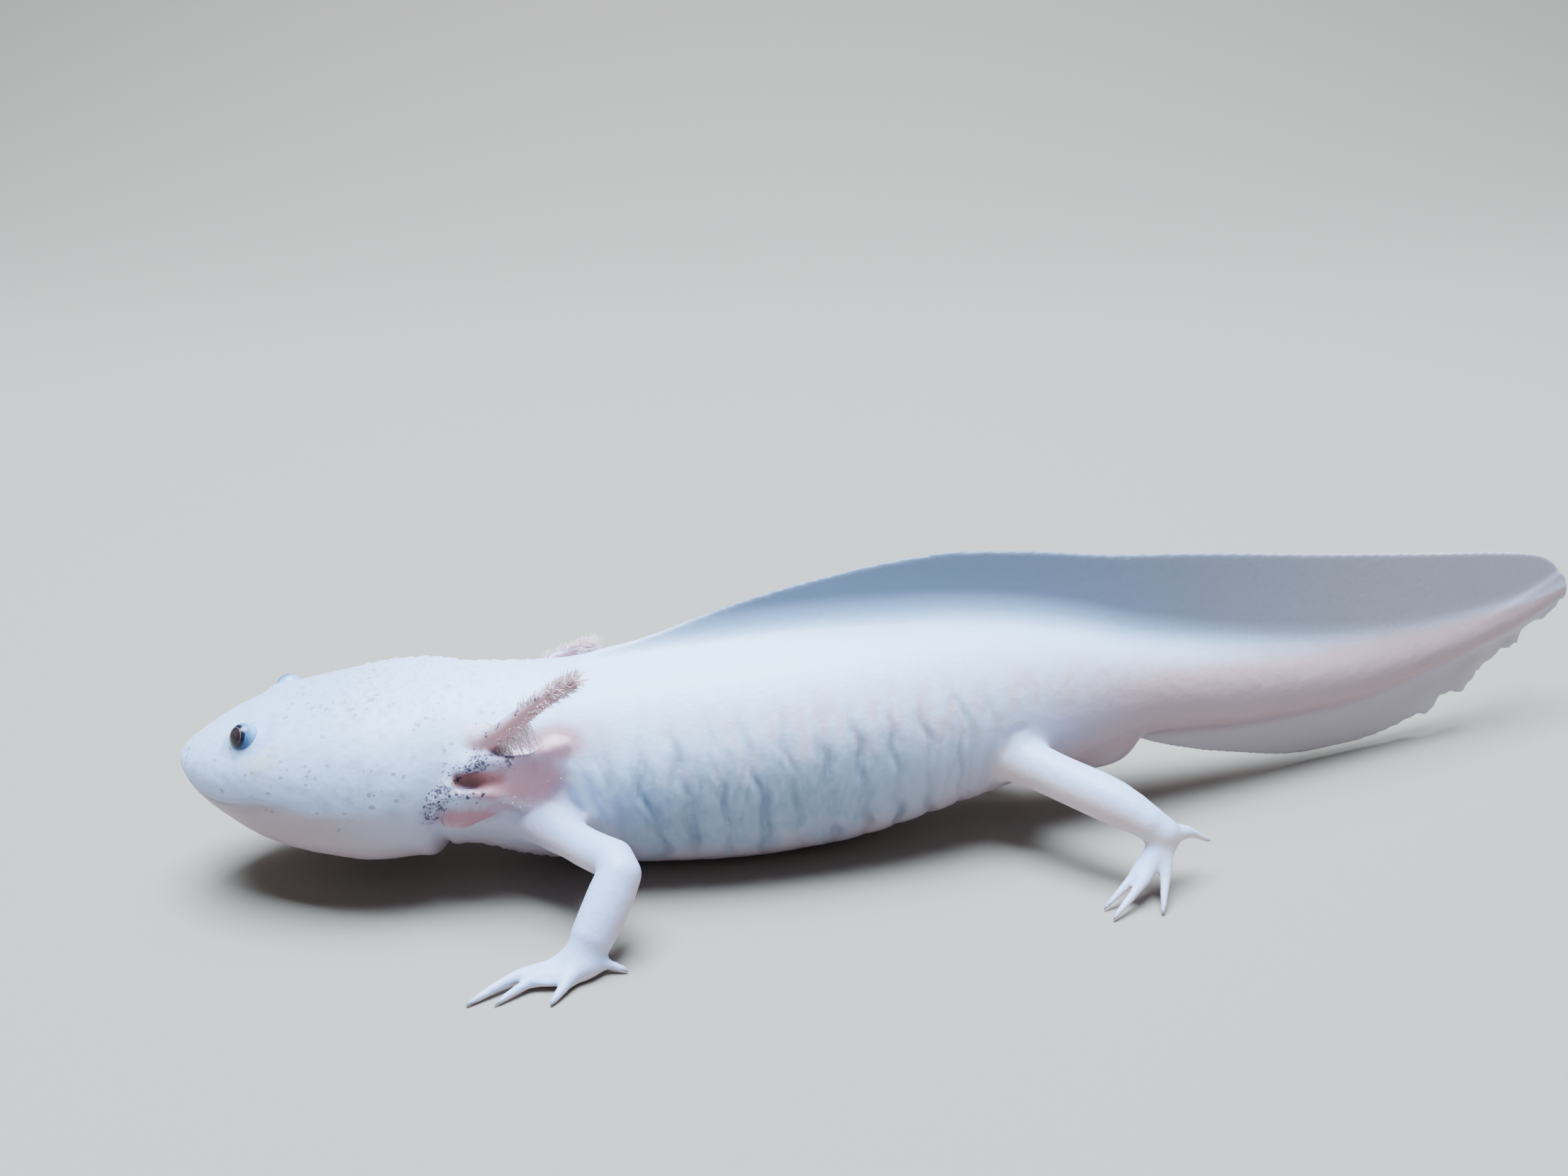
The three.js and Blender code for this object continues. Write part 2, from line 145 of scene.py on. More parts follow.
# %% [markdown]
# ## The clay
# Flesh has no edges: legs, jaw and neck run into one another. Mesh pieces pushed together would show
# seams there, so the form is worked as a block of distances to the surface, negative inside. Forms are
# joined with a soft fillet and folds are carved the same way, as thumb and tool would.

# %% Clay
BLOCK = ((-3, -45, -1.5), (236, 54, 47.5))      # two corners that hold the whole animal, mm
EMPTY, TRUSTED = 9.0, 3.0                       # distance in empty clay, and the farthest one that is kept


def smoothstep(value, low, high):
    t = np.clip((value - low) / (high - low), 0, 1)
    return t * t * (3 - 2 * t)


def soft_join(a, b, soft):
    """The nearer of two surfaces, filleted over soft millimetres."""
    overlap = np.maximum(soft - np.abs(a - b), 0) / soft
    return np.minimum(a, b) - overlap * overlap * soft / 4


class Clay:
    def __init__(self, low, high, step):
        self.low, self.step = np.array(low, float), step
        count = np.ceil((np.array(high) - self.low) / step).astype(int) + 1
        self.axes = [self.low[i] + step * np.arange(count[i], dtype=np.float32) for i in range(3)]
        self.field = np.full(count, EMPTY, np.float32)

    def near(self, low, high):
        """The part of the block between two corners, and its coordinates."""
        first = [max(int((low[i] - self.low[i]) / self.step), 0) for i in range(3)]
        last = [int((high[i] - self.low[i]) / self.step) + 2 for i in range(3)]
        cut = tuple(slice(a, b) for a, b in zip(first, last))
        x, y, z = (axis[c] for axis, c in zip(self.axes, cut))
        return cut, x[:, None, None], y[None, :, None], z[None, None, :]

    def join(self, low, high, distance, soft):
        cut, x, y, z = self.near(low, high)
        self.field[cut] = soft_join(self.field[cut], distance(x, y, z), soft)

    def carve(self, low, high, distance, soft):
        cut, x, y, z = self.near(low, high)
        self.field[cut] = -soft_join(-self.field[cut], distance(x, y, z), soft)

    def skin(self):
        """Vertices and four-sided faces of the surface."""
        grid = openvdb.FloatGrid(EMPTY)
        grid.copyFromArray(np.clip(self.field, -TRUSTED, TRUSTED))
        points, quads = grid.convertToQuads(isovalue=0.0)
        return self.low + points * self.step, quads


clay = Clay(*BLOCK, CLAY_STEP)
print("clay block:", clay.field.shape)

# %% [markdown]
# ## Rolls and pebbles
# Almost everything that is added to the body is a roll of clay that changes in thickness, or a pebble
# of it. Both are rules that answer how far a place is from their surface.

# %% Rolls and pebbles
FAR = 99.0      # mm, farther than anything on the animal


def tube(path, radii):
    """A round rope along a path, as a rule for distance."""
    def distance(x, y, z):
        best = np.float32(FAR)
        for a, b, ra, rb in zip(path[:-1], path[1:], radii[:-1], radii[1:]):
            ab = b - a
            t = ((x - a[0]) * ab[0] + (y - a[1]) * ab[1] + (z - a[2]) * ab[2]) / ab.dot(ab)
            t = np.clip(t, 0, 1)
            away = sum((q - a[i] - t * ab[i]) ** 2 for i, q in enumerate((x, y, z)))
            best = np.minimum(best, np.sqrt(away) - ra - t * (rb - ra))
        return best
    return distance


def pebble(centre, radii):
    """An egg-shaped lump, as a rule for distance."""
    def distance(x, y, z):
        u, v, w = ((q - c) / r for q, c, r in zip((x, y, z), centre, radii))
        r = np.sqrt(u * u + v * v + w * w)
        steep = np.sqrt((u / radii[0]) ** 2 + (v / radii[1]) ** 2 + (w / radii[2]) ** 2)
        return r * (r - 1) / np.maximum(steep, 1e-3)
    return distance


def smooth_path(points, count):
    """Points at even steps along a soft curve through a few points."""
    p = np.array(points, float)
    p = np.vstack([2 * p[0] - p[1], p, 2 * p[-1] - p[-2]])
    fine = []
    for i in range(1, len(p) - 2):
        for t in np.linspace(0, 1, 24, endpoint=False):
            a, b, c, d = p[i - 1:i + 3]
            fine.append(0.5 * (2 * b + (c - a) * t + (2 * a - 5 * b + 4 * c - d) * t * t
                               + (3 * b - a - 3 * c + d) * t ** 3))
    fine = np.array(fine + [p[-2]])
    run = np.r_[0, np.cumsum(np.linalg.norm(np.diff(fine, axis=0), axis=1))]
    at = np.linspace(0, run[-1], count)
    return np.column_stack([np.interp(at, run, fine[:, i]) for i in range(3)])


def around(path, margin):
    return path.min(0) - margin, path.max(0) + margin


sample = smooth_path([(0, 0, 0), (10, 0, 0), (20, 5, 0)], 5)
print("a soft path through three marks:", sample.round(1).tolist())

# %% [markdown]
# ## Lines and folds of the skin
# The belly skin is thin and folds between the ribs, the lower jaw tucks in under the upper lip, and a
# crease crosses the throat. Each is a rule for how far the skin is drawn in, so that it stays soft.

# %% Folds
RIB_GAP, RIB_COUNT, FOLD_LEAN = 5.05, 12, 0.13
RIB_FOLDS = [66 + RIB_GAP * i for i in range(RIB_COUNT)]
MOUTH_LINE = smooth_keys([(-1, 20.2), (2.5, 19.2), (5.5, 17.7), (10, 17.5), (13, 18.0), (16, 18.8),
                          (24, 17.9)])
NECK_FOLD = 41.2
chance = np.random.default_rng(7)
FOLD_SWAY = chance.uniform(-1, 1, (RIB_COUNT, 6))
# short wrinkles between the ribs: station, height, lean, half length, depth
WRINKLE_COUNT = 44
WRINKLES = np.column_stack([chance.uniform(*limits, WRINKLE_COUNT) for limits in
                            ((62, 122), (7, 22), (-0.35, 0.75), (1.8, 4.5), (0.10, 0.24))])


def press(distance_to_line, width):
    return np.exp(-(distance_to_line / width) ** 2)


def flank_part(station, height):
    """1 where the thin belly skin folds between the ribs."""
    return (smoothstep(height, 1.5, 8) * (1 - smoothstep(height, 20, 30))
            * smoothstep(station, 60, 68) * (1 - smoothstep(station, 116, 126)))


def rib_folds(station, side, height):
    """How far the skin is drawn in between the ribs, in millimetres."""
    depth = 0
    for fold, sway in zip(RIB_FOLDS, FOLD_SWAY):
        line = fold - FOLD_LEAN * (height - 15) + 0.7 * sway[0] * np.sin(0.33 * height + 3 * sway[1])
        line = line + 0.3 * np.sin(0.9 * height + 3 * sway[2])
        strength = 0.54 + 0.2 * sway[3] + 0.22 * np.sin(0.5 * height + 3 * sway[4])
        depth = depth + strength * press(station - line, 0.62 + 0.2 * sway[5])
    ribs = (station + FOLD_LEAN * (height - 15) - RIB_FOLDS[0]) / RIB_GAP
    swell = 0.5 + 0.5 * np.cos(ribs * 2 * np.pi)
    return flank_part(station, height) * (depth + 0.16 * swell)


def short_wrinkles(station, side, height):
    depth = 0
    for at, middle, lean, half, deep in WRINKLES:
        across = station - at + lean * (height - middle)
        depth = depth + deep * press(across, 0.4) * press(height - middle, half)
    return depth * (1 - smoothstep(height, 22, 26))


def pimples(station, side, height, up):
    """Low pimples along the crown and neck, and under the throat."""
    rows, lanes = 2.75 * station + 1.1 * np.sin(1.7 * side), 2.3 * side + 0.9 * np.sin(1.3 * station)
    grain = np.sin(rows) * np.cos(lanes)
    crown = smoothstep(up, 0.72, 0.93) * smoothstep(station, 20, 30) * (1 - smoothstep(station, 52, 60))
    throat = (1 - smoothstep(up, -0.8, -0.5)) * smoothstep(station, 43, 46)
    throat = throat * (1 - smoothstep(station, 62, 68))
    rough = np.sin(1.1 * station + 2 * np.sin(0.6 * height))
    rough = rough * np.sin(1.3 * height + 1.9 * np.sin(0.45 * station))
    return (0.34 * crown + 0.3 * throat) * np.maximum(grain, 0) ** 1.5 + 0.035 * rough


def lips(station, side, height):
    """The lower jaw tucks in under the upper lip."""
    off = height - MOUTH_LINE(station)
    shut = 0.4 * press(off + 0.1, 0.4) * (1 - smoothstep(station, 9, 17))
    tuck = (1 - smoothstep(off, -0.6, 0.2)) * smoothstep(off, -8, -1)
    return shut + 0.62 * tuck * (1 - smoothstep(station, 14, 24))


def throat_fold(station, side, height):
    """The crease where the head ends, strongest underneath."""
    low = 1 - smoothstep(height, 9, 15)
    crease = station - NECK_FOLD - 0.06 * (height - 10)
    return low * (1.15 * press(crease, 0.8) - 0.35 * press(crease + 1.9, 1.2))


print("rib folds from station", RIB_FOLDS[0], "to", round(RIB_FOLDS[-1], 1), "and", len(WRINKLES), "wrinkles")

# %% [markdown]
# ## The body
# The real animal is a soft boneless-looking barrel: broad flat head, full belly, tail flattened to an
# oar. It could be lofted through rings, but one rule for its section at every station fills the block
# in one go and takes the folds with it.

# %% Body
def body_rule(x, y, z):
    station, side = unbend(x, y)
    half, power = half_width(station), squareness(station)
    top, bottom = top_height(station), bottom_height(station)
    tall, up = (top - bottom) / 2, z - (top + bottom) / 2
    r = (np.abs(side / half) ** power + np.abs(up / tall) ** power) ** (1 / power)
    steep = np.hypot(side / half ** 2, up / tall ** 2) / np.maximum(r, 0.05)
    away = ((r - 1) / np.maximum(steep, 0.02)).astype(np.float32)
    near = np.abs(away) < TRUSTED
    spread = [np.broadcast_to(q, away.shape)[near] for q in (station, side, z, up / tall)]
    folds = sum(fold(*spread[:3]) for fold in (rib_folds, short_wrinkles, lips, throat_fold))
    away[near] += folds - pimples(*spread)
    ends = np.maximum(0.05 - x, station - TOTAL_LENGTH)
    return np.maximum(away, ends).astype(np.float32)


clay.join(*BLOCK, body_rule, 0.01)
print("clay inside the body, cm3:", round(float((clay.field < 0).sum()) * CLAY_STEP ** 3 / 1000, 1))

# %% [markdown]
# ## Fins
# A fin is a fold of skin with nothing stiff in it: thick where it leaves the flesh, thin and slightly
# wavy at its edge. The lower one frays towards the tip of the tail. A flat sheet with Solidify would
# meet the back in a hard line, so each fin is a rule too and is joined with a wide fillet.

# %% Fins
FIN_EDGE, FIN_ROOT = 0.8, 1.9       # thickness, mm
FRAY_FROM, FRAY_FULL = 196, 222     # stations between which the edge begins to fray


def fin_rule(edge_of, way, start, fray):
    def distance(x, y, z):
        station, side = unbend(x, y)
        edge = edge_of(station)
        flesh = top_height(station) if way > 0 else bottom_height(station)
        growing = smoothstep(station, FRAY_FROM, FRAY_FULL)
        lobes = 1.2 * np.sin(station * 0.46) ** 2 + 0.7 * np.sin(station * 1.13 + 1) ** 2
        out = np.clip((z - flesh) * way / np.maximum((edge - flesh) * way, 1), -0.5, 1)
        wave = fray * 1.3 * growing * np.sin(station * 0.62) * np.clip(out, 0, 1) ** 2
        root = np.maximum(FIN_ROOT * np.minimum((TOTAL_LENGTH + 3 - station) / 60, 1), FIN_EDGE)
        thick = FIN_EDGE + (root - FIN_EDGE) * (1 - np.clip(out, 0, 1)) ** 1.6
        beside = np.abs(side - wave) - thick / 2
        beyond = (z - edge) * way + fray * growing * lobes
        behind = np.maximum(start - station, station - TOTAL_LENGTH)
        inside = -(z - flesh) * way - 4
        rim = -soft_join(-beside, -beyond, 0.35)
        return np.maximum(np.maximum(rim, behind), inside).astype(np.float32)
    return distance


clay.join(*BLOCK, fin_rule(upper_edge, 1, 57, 0.0), 2.6)
clay.join((120, -20, -1.5), (236, 54, 30), fin_rule(lower_edge, -1, 148, 0.9), 1.8)
print("fins:", FIN_EDGE, "mm thick at the edge and", FIN_ROOT, "mm at the root")

# %% [markdown]
# ## Legs
# Each leg is a soft roll from inside the body to the wrist or ankle, a pad, and free fingers or toes
# that end bluntly and carry no claws: four on a hand, five on a foot. The elbow and knee swell a
# little. One list of sizes serves both sides, mirrored.

# %% Leg sizes
# points: station, side out, height; radii: share along the leg, radius; pads: place, half sizes;
# digits: tip, knuckle, radius, how broad at the root; webs: two digits and how far up they are joined
FRONT_LEG = dict(
    points=[(50, 6, 15), (57, 16, 13.2), (62.4, 22.4, 12.3), (66.6, 28, 12.2), (65, 31, 8.4),
            (62.8, 33.6, 4.6), (61.6, 34.6, 2.6)],
    radii=[(0, 4.6), (0.3, 3.4), (0.45, 2.75), (0.66, 2.9), (0.8, 3.25), (0.92, 3.05), (1, 2.4)],
    hug=3.2,
    pads=[((60.8, 35.2, 1.6), (3.3, 2.7, 1.5)), ((57.6, 36.8, 1.2), (3.2, 2.4, 0.85))],
    digits=[((47.9, 41.6, 0.45), (54.0, 36.8, 1.5), 0.8, 1.25),
            ((51.3, 41.9, 0.45), (55.6, 38.0, 1.3), 0.72, 1.2),
            ((58.0, 42.7, 0.45), (59.8, 38.9, 1.3), 0.76, 1.4),
            ((67.1, 35.8, 0.5), (64.4, 35.2, 1.4), 0.7, 2.0)],
    webs=[(0, 1, 0.5), (1, 2, 0.4), (2, 3, 0.28)],
)
HIND_LEG = dict(
    points=[(119, 3, 17), (125, 11, 15.2), (130.2, 18, 13.6), (134.4, 24, 12.4), (138, 28.4, 10.5),
            (139.8, 29.8, 8.8)],
    radii=[(0, 4.8), (0.25, 4.0), (0.5, 3.35), (0.72, 3.4), (0.9, 2.75), (1, 2.0)],
    hug=2.2,
    pads=[((140.3, 29.6, 8.2), (2.1, 1.8, 2.2))],
    digits=[((130.0, 34.0, 0.45), (135.4, 31.8, 4.0), 0.72, 1.7),
            ((129.8, 37.2, 0.45), (136.2, 33.0, 3.9), 0.72, 1.7),
            ((136.7, 37.6, 0.45), (139.2, 32.8, 4.4), 0.72, 1.8),
            ((148.4, 27.9, 5.0), (144.4, 28.9, 7.6), 0.68, 2.2),
            ((145.2, 25.6, 6.4), (142.6, 27.2, 8.2), 0.62, 1.6)],
    webs=[(0, 1, 0.5), (1, 2, 0.26), (2, 3, 0.26)],
)
print("fingers:", len(FRONT_LEG["digits"]), "- toes:", len(HIND_LEG["digits"]))

# %% Legs
WEB_RADIUS = 0.42
limb_lines = []      # (path, shares 0 to 1 along a leg and 1 to 2 along a digit)


def model_leg(leg, right):
    def at(p):
        return bend(p[0], right * p[1], p[2])

    path = smooth_path([at(p) for p in leg["points"]], 15)
    share = np.linspace(0, 1, len(path))
    clay.join(*around(path, 9), tube(path, smooth_keys(leg["radii"])(share)), leg["hug"])
    limb_lines.append((path, share))
    for place, size in leg["pads"]:
        centre = at(place)
        clay.join(centre - 6, centre + 6, pebble(centre, size), 2.2)
    wrist = at(leg["pads"][0][0])
    digits = []
    for tip, knuckle, radius, broad in leg["digits"]:
        path = smooth_path([wrist, at(knuckle), at(tip)], 10)
        share = np.linspace(0, 1, len(path))
        taper = smooth_keys([(0, radius * broad), (0.35, radius * (0.4 + 0.6 * broad)),
                             (0.6, radius * 0.95), (0.85, radius * 0.66), (1, radius * 0.36)])
        clay.join(*around(path, 3), tube(path, taper(share)), 0.9)
        limb_lines.append((path, 1 + share))
        digits.append(path)
    for a, b, reach in leg["webs"]:
        for k in np.linspace(0.2, reach, 7):
            i = k * (len(digits[a]) - 1)
            web = np.array([[np.interp(i, range(len(d)), d[:, axis]) for axis in range(3)]
                            for d in (digits[a], digits[b])])
            clay.join(*around(web, 2), tube(web, np.full(2, WEB_RADIUS)), 0.9)


for right in (-1, 1):
    model_leg(FRONT_LEG, right)
    model_leg(HIND_LEG, right)
print("limb paths:", len(limb_lines))

# %% [markdown]
# ## Vent and creases
# Behind the hind legs the body swells round the vent. Where a limb moves, the skin creases. A thin
# round tool presses each line in, and it bites deepest halfway, so that no line ends in a hole.

# %% Vent and creases
VENT = [((141.6, 0, 13.7), (8.4, 6, 7.6)), ((146.2, 0, 12.4), (4.4, 4.4, 5.4))]
for place, size in VENT:
    vent = bend(*place)
    clay.join(vent - 12, vent + 12, pebble(vent, size), 2.2)

# armpit, groin and the side of the vent: path in body coordinates, tool radius
CREASES = [
    ([(56.6, 15.6, 17.5), (58.0, 15.9, 16.0), (59.6, 16.2, 14.6)], 0.3),
    ([(59.4, 15.7, 19.2), (60.4, 15.9, 17.0), (61.8, 16.2, 14.8)], 0.35),
    ([(62.3, 15.9, 20.4), (62.9, 16.1, 17.4), (63.8, 16.3, 14.2)], 0.35),
    ([(115.4, 12.8, 27.0), (117.6, 14.3, 21.5), (118.2, 13.8, 15.0), (117.6, 11.4, 9.6)], 0.5),
    ([(120.2, 12.6, 26.0), (121.6, 14.2, 21.0), (121.4, 13.6, 14.0), (120.6, 10.6, 9.0)], 0.5),
    ([(126.9, 12.8, 20.6), (123.9, 13.9, 19.6), (122.6, 14.1, 16.4)], 0.4),
    ([(136.2, 8.4, 9.2), (139.2, 6.4, 6.6), (143.0, 3.4, 6.0)], 0.3),
]
TOOL_LIFT = 0.35
for right in (-1, 1):
    for line, radius in CREASES:
        path = smooth_path([bend(s, right * o, h) for s, o, h in line], 12)
        bite = np.sin(np.pi * np.linspace(0, 1, 12)) ** 0.6
        clay.carve(*around(path, 3), tube(path, (radius + TOOL_LIFT) * bite - TOOL_LIFT), 1.1)
print("creases on each side:", len(CREASES))

# %% [markdown]
# ## Gills
# Three gills on each side behind the head. The upper one is a free stalk; the middle and lower ones
# lie back along the neck, each a ridge with a thin veil of skin hanging from it. Between their roots
# the skin dips into hollows that lead to the throat. The stalks and veils are worked in the same clay,
# because they grow out of the neck; the fine filaments are added later as their own piece.

# %% Gill sizes
# ridge and rim: the stalk and the free edge of its veil; radii: along the ridge; veil: radius of the
# rolls it is laid from, at ridge and rim; sink and splay: how the far gill hangs lower and wider
GILLS = [
    dict(name="upper",
         ridge=[(43, 7, 22), (50, 14.4, 26.9), (56.6, 17.6, 32.9), (62.2, 20.0, 36.9)],
         rim=[(45, 9, 22.0), (50.8, 14.5, 26.0), (57.0, 17.6, 31.9), (62.4, 20.0, 36.3)],
         radii=[(0, 2.0), (0.3, 1.55), (0.6, 1.1), (0.85, 0.75), (1, 0.4)], veil=(0.5, 0.4),
         sink=9, splay=-0.6),
    dict(name="middle",
         ridge=[(44.2, 13.0, 22.0), (48.9, 15.3, 23.3), (53.2, 15.6, 23.4), (59.6, 13.7, 24.6)],
         rim=[(46.2, 14.6, 19.6), (50.4, 16.5, 18.4), (55.2, 16.3, 16.6), (59.4, 14.6, 21.4)],
         radii=[(0, 1.5), (0.35, 1.15), (0.65, 0.8), (1, 0.4)], veil=(0.6, 0.45), sink=1.5, splay=1),
    dict(name="lower",
         ridge=[(40.8, 15.2, 17.4), (44.7, 16.5, 18.7), (48.2, 16.6, 19.0), (53.0, 15.2, 17.9)],
         rim=[(41.4, 15.8, 15.2), (43.8, 16.1, 13.8), (47.4, 15.9, 15.2), (51.6, 15.2, 16.9)],
         radii=[(0, 1.3), (0.4, 1.0), (0.7, 0.7), (1, 0.35)], veil=(0.5, 0.45), sink=1, splay=1),
]
# hollows: a path along the floor of the dip, and the tool's radius at its ends
HOLLOWS = [([(49.2, 13.9, 25.7), (51.2, 14.0, 25.0), (54.4, 13.8, 25.2)], (0.5, 1.2)),
           ([(45.0, 15.9, 20.9), (46.6, 15.9, 20.9), (50.2, 17.2, 21.0)], (0.45, 0.95))]
PALE_RIM = [(47.6, 12.6, 26.2), (48.8, 13.5, 25.0), (50.7, 14.1, 24.0), (53.5, 14.2, 23.5),
            (55.6, 14.0, 23.9), (58.2, 13.3, 25.2)]
RIM_RADII = smooth_keys([(0, 0.3), (0.3, 0.6), (0.8, 0.5), (1, 0.2)])
# the gills' roots stand in a row on this low slanting welt, which carries most of the freckles
WELT = [(49.4, 14.6, 25.2), (47.8, 15.7, 23.3), (45.3, 15.6, 21.6), (43.2, 16.2, 19.6), (41.6, 16.8, 17.8),
        (40.9, 16.8, 16.1)]
print("gills on each side:", [gill["name"] for gill in GILLS])

# %% Gill stalks
gill_lines = []      # (name, right, ridge, rim), 61 points each
hollow_lines = []
rim_lines = []


def bent_path(line, right, count, sink=0, splay=0):
    """A smooth path from body coordinates; the far gills rest a little lower."""
    points = []
    for i, (station, out, height) in enumerate(line):
        sag = i / (len(line) - 1) if right > 0 else 0
        points.append(bend(station, right * (out + splay * sag), height - sink * sag))
    return smooth_path(points, count)


def model_gill(gill, right):
    ridge, rim = (bent_path(gill[k], right, 61, gill["sink"], gill["splay"]) for k in ("ridge", "rim"))
    share = np.linspace(0, 1, len(ridge))
    clay.join(*around(ridge, 5), tube(ridge[::5], smooth_keys(gill["radii"])(share)[::5]), 1.2)
    gill_lines.append((gill["name"], right, ridge, rim))
    for p, q in zip(ridge[8:], rim[8:]):
        slat = np.array([p, q])
        clay.join(*around(slat, 2), tube(slat, np.array(gill["veil"])), 0.5)


def model_gill_roots(right):
    """The welt, the pale rim between two gills, and the hollows beside it."""
    welt = bent_path(WELT, right, 17)
    clay.join(*around(welt, 3), tube(welt, 0.15 + 0.6 * np.sin(np.pi * np.linspace(0, 1, 17))), 1.5)
    rim, share = bent_path(PALE_RIM, right, 13), np.linspace(0, 1, 13)
    clay.join(*around(rim, 3), tube(rim, RIM_RADII(share)), 1.2)
    rim_lines.append((rim, share))
    for line, (thin, thick) in HOLLOWS:
        path = bent_path(line, right, 9)
        clay.carve(*around(path, 4), tube(path, np.linspace(thin, thick, 9)), 1.6)
        hollow_lines.append((path, np.linspace(0, 1, 9)))


for right in (-1, 1):
    model_gill(GILLS[1], right)
    model_gill(GILLS[2], right)
    model_gill_roots(right)
    model_gill(GILLS[0], right)
print("gills:", len(gill_lines), "- hollows:", len(hollow_lines))

# %% [markdown]
# ## Face
# No lids: the eye sits in a low round swelling of bare skin. Two tiny nostrils open near the snout.
# A pebble added and a pebble taken away are enough for both.

# %% Face
EYES = {-1: bend(EYE_PLACE[0], -EYE_PLACE[1], EYE_PLACE[2]),
        1: bend(EYE_PLACE[0] + 0.4, EYE_PLACE[1] - 0.3, EYE_PLACE[2] - 0.5)}
for right, eye in EYES.items():
    swelling = eye - np.array([-0.1, 1.15 * right, 1.0])
    clay.join(eye - 6, eye + 6, pebble(swelling, (2.9, 2.3, 2.2)), 1.8)
    nostril = bend(2.6, right * 4.4, 21.9)
    clay.carve(nostril - 2, nostril + 2, pebble(nostril, (0.4, 0.4, 0.35)), 0.5)

# belly, hands and feet are flattened a little where they rest on the ground at height 0
clay.field = np.maximum(clay.field, -clay.axes[2][None, None, :])
points, quads = clay.skin()
print("skin off the clay:", len(points), "points,", len(quads), "faces")

# %% [markdown]
# ## The skin as one piece
# The worked clay becomes one closed mesh. The steps of the clay would show on the thin fins, so a
# Smooth modifier rubs only those, and a Decimate modifier then leaves no more triangles than needed.

# %% Skin piece
def new_mesh(name, points_mm, faces):
    mesh = bpy.data.meshes.new(name)
    points_m = ((points_mm + ZERO) * MM).astype(np.float32)
    mesh.vertices.add(len(points_m))
    mesh.vertices.foreach_set("co", points_m.ravel())
    mesh.loops.add(faces.size)
    mesh.loops.foreach_set("vertex_index", faces.astype(np.int32).ravel())
    mesh.polygons.add(len(faces))
    mesh.polygons.foreach_set("loop_start", np.arange(0, faces.size, faces.shape[1], dtype=np.int32))
    mesh.update(calc_edges=True)
    mesh.validate()
    piece = bpy.data.objects.new(name, mesh)
    scene.collection.objects.link(piece)
    return piece


def bake_modifiers(piece):
    """The piece as its modifiers leave it, as a plain mesh."""
    graph = bpy.context.evaluated_depsgraph_get()
    mesh = bpy.data.meshes.new_from_object(piece.evaluated_get(graph))
    mesh.name = piece.name
    piece.modifiers.clear()
    piece.data = mesh
    return mesh


def points_of(mesh):
    flat = np.empty(len(mesh.vertices) * 3, np.float32)
    mesh.vertices.foreach_get("co", flat)
    return flat.reshape(-1, 3)


FIN_ROOM = 6            # mm each side of the middle that hold nothing but fins
TRIANGLES = 190000
skin = new_mesh("skin", points, quads)
station, side = unbend(points[:, 0], points[:, 1])
above, below = points[:, 2] - top_height(station), bottom_height(station) - points[:, 2]
past_flesh = np.maximum(above - 2.5, below - 1.5)
on_fins = (np.abs(side) < FIN_ROOM) & (station > 60) & (past_flesh > 0) & (points[:, 2] > 0.6)
fins = skin.vertex_groups.new(name="fins")
fins.add(np.flatnonzero(on_fins).tolist(), 1.0, "REPLACE")
rub = skin.modifiers.new("rub smooth", "SMOOTH")
rub.factor, rub.iterations, rub.vertex_group = 0.5, 8, "fins"
if 2 * len(quads) > TRIANGLES:
    thin_out = skin.modifiers.new("thin out", "DECIMATE")
    thin_out.ratio = TRIANGLES / (2 * len(quads))
bake_modifiers(skin)
skin.vertex_groups.clear()
skin.data.polygons.foreach_set("use_smooth", np.ones(len(skin.data.polygons), bool))
on_skin = points_of(skin.data) / MM - ZERO
print("skin:", len(skin.data.polygons), "faces,", int(on_fins.sum()), "points of fin rubbed smooth")

# %% [markdown]
# ## Where each point lies
# A painter marks zones on the model before laying on colour. Here every point remembers where on the
# animal it is: station, side and height, how far up the flank, and how far along a limb. Clouds of
# soft noise make the edges of the zones uneven.

# %% Places on the skin
def nearest_on(lines, at):
    """Distance to the nearest of several paths, and the share along it."""
    best, where = np.full(len(at), FAR), np.zeros(len(at))
    for path, share in lines:
        for a, b, sa, sb in zip(path[:-1], path[1:], share[:-1], share[1:]):
            ab = b - a
            t = np.clip((at - a) @ ab / ab.dot(ab), 0, 1)
            away = np.linalg.norm(at - a - t[:, None] * ab, axis=1)
            closer = away < best
            best[closer] = away[closer]
            where[closer] = (sa + t * (sb - sa))[closer]
    return best, where


def remember(mesh, name, *columns):
    """Keeps up to three numbers on every point under one name."""
    vectors = np.zeros((len(mesh.vertices), 3), np.float32)
    vectors[:, :len(columns)] = np.column_stack(columns)
    mesh.attributes.new(name, "FLOAT_VECTOR", "POINT").data.foreach_set("vector", vectors.ravel())


def soft_noise(at, stretch, octaves=3):
    """Cloudy numbers from 0 to 1 over the skin."""
    return np.array([0.5 + 0.5 * noise.fractal(p, 0.7, 2.1, octaves) for p in (at * stretch).tolist()])


def fade(value, low, high):
    """0 at low and 1 at high, soft in between; low may be the larger."""
    return smoothstep(value, low, high) if low < high else 1 - smoothstep(value, high, low)


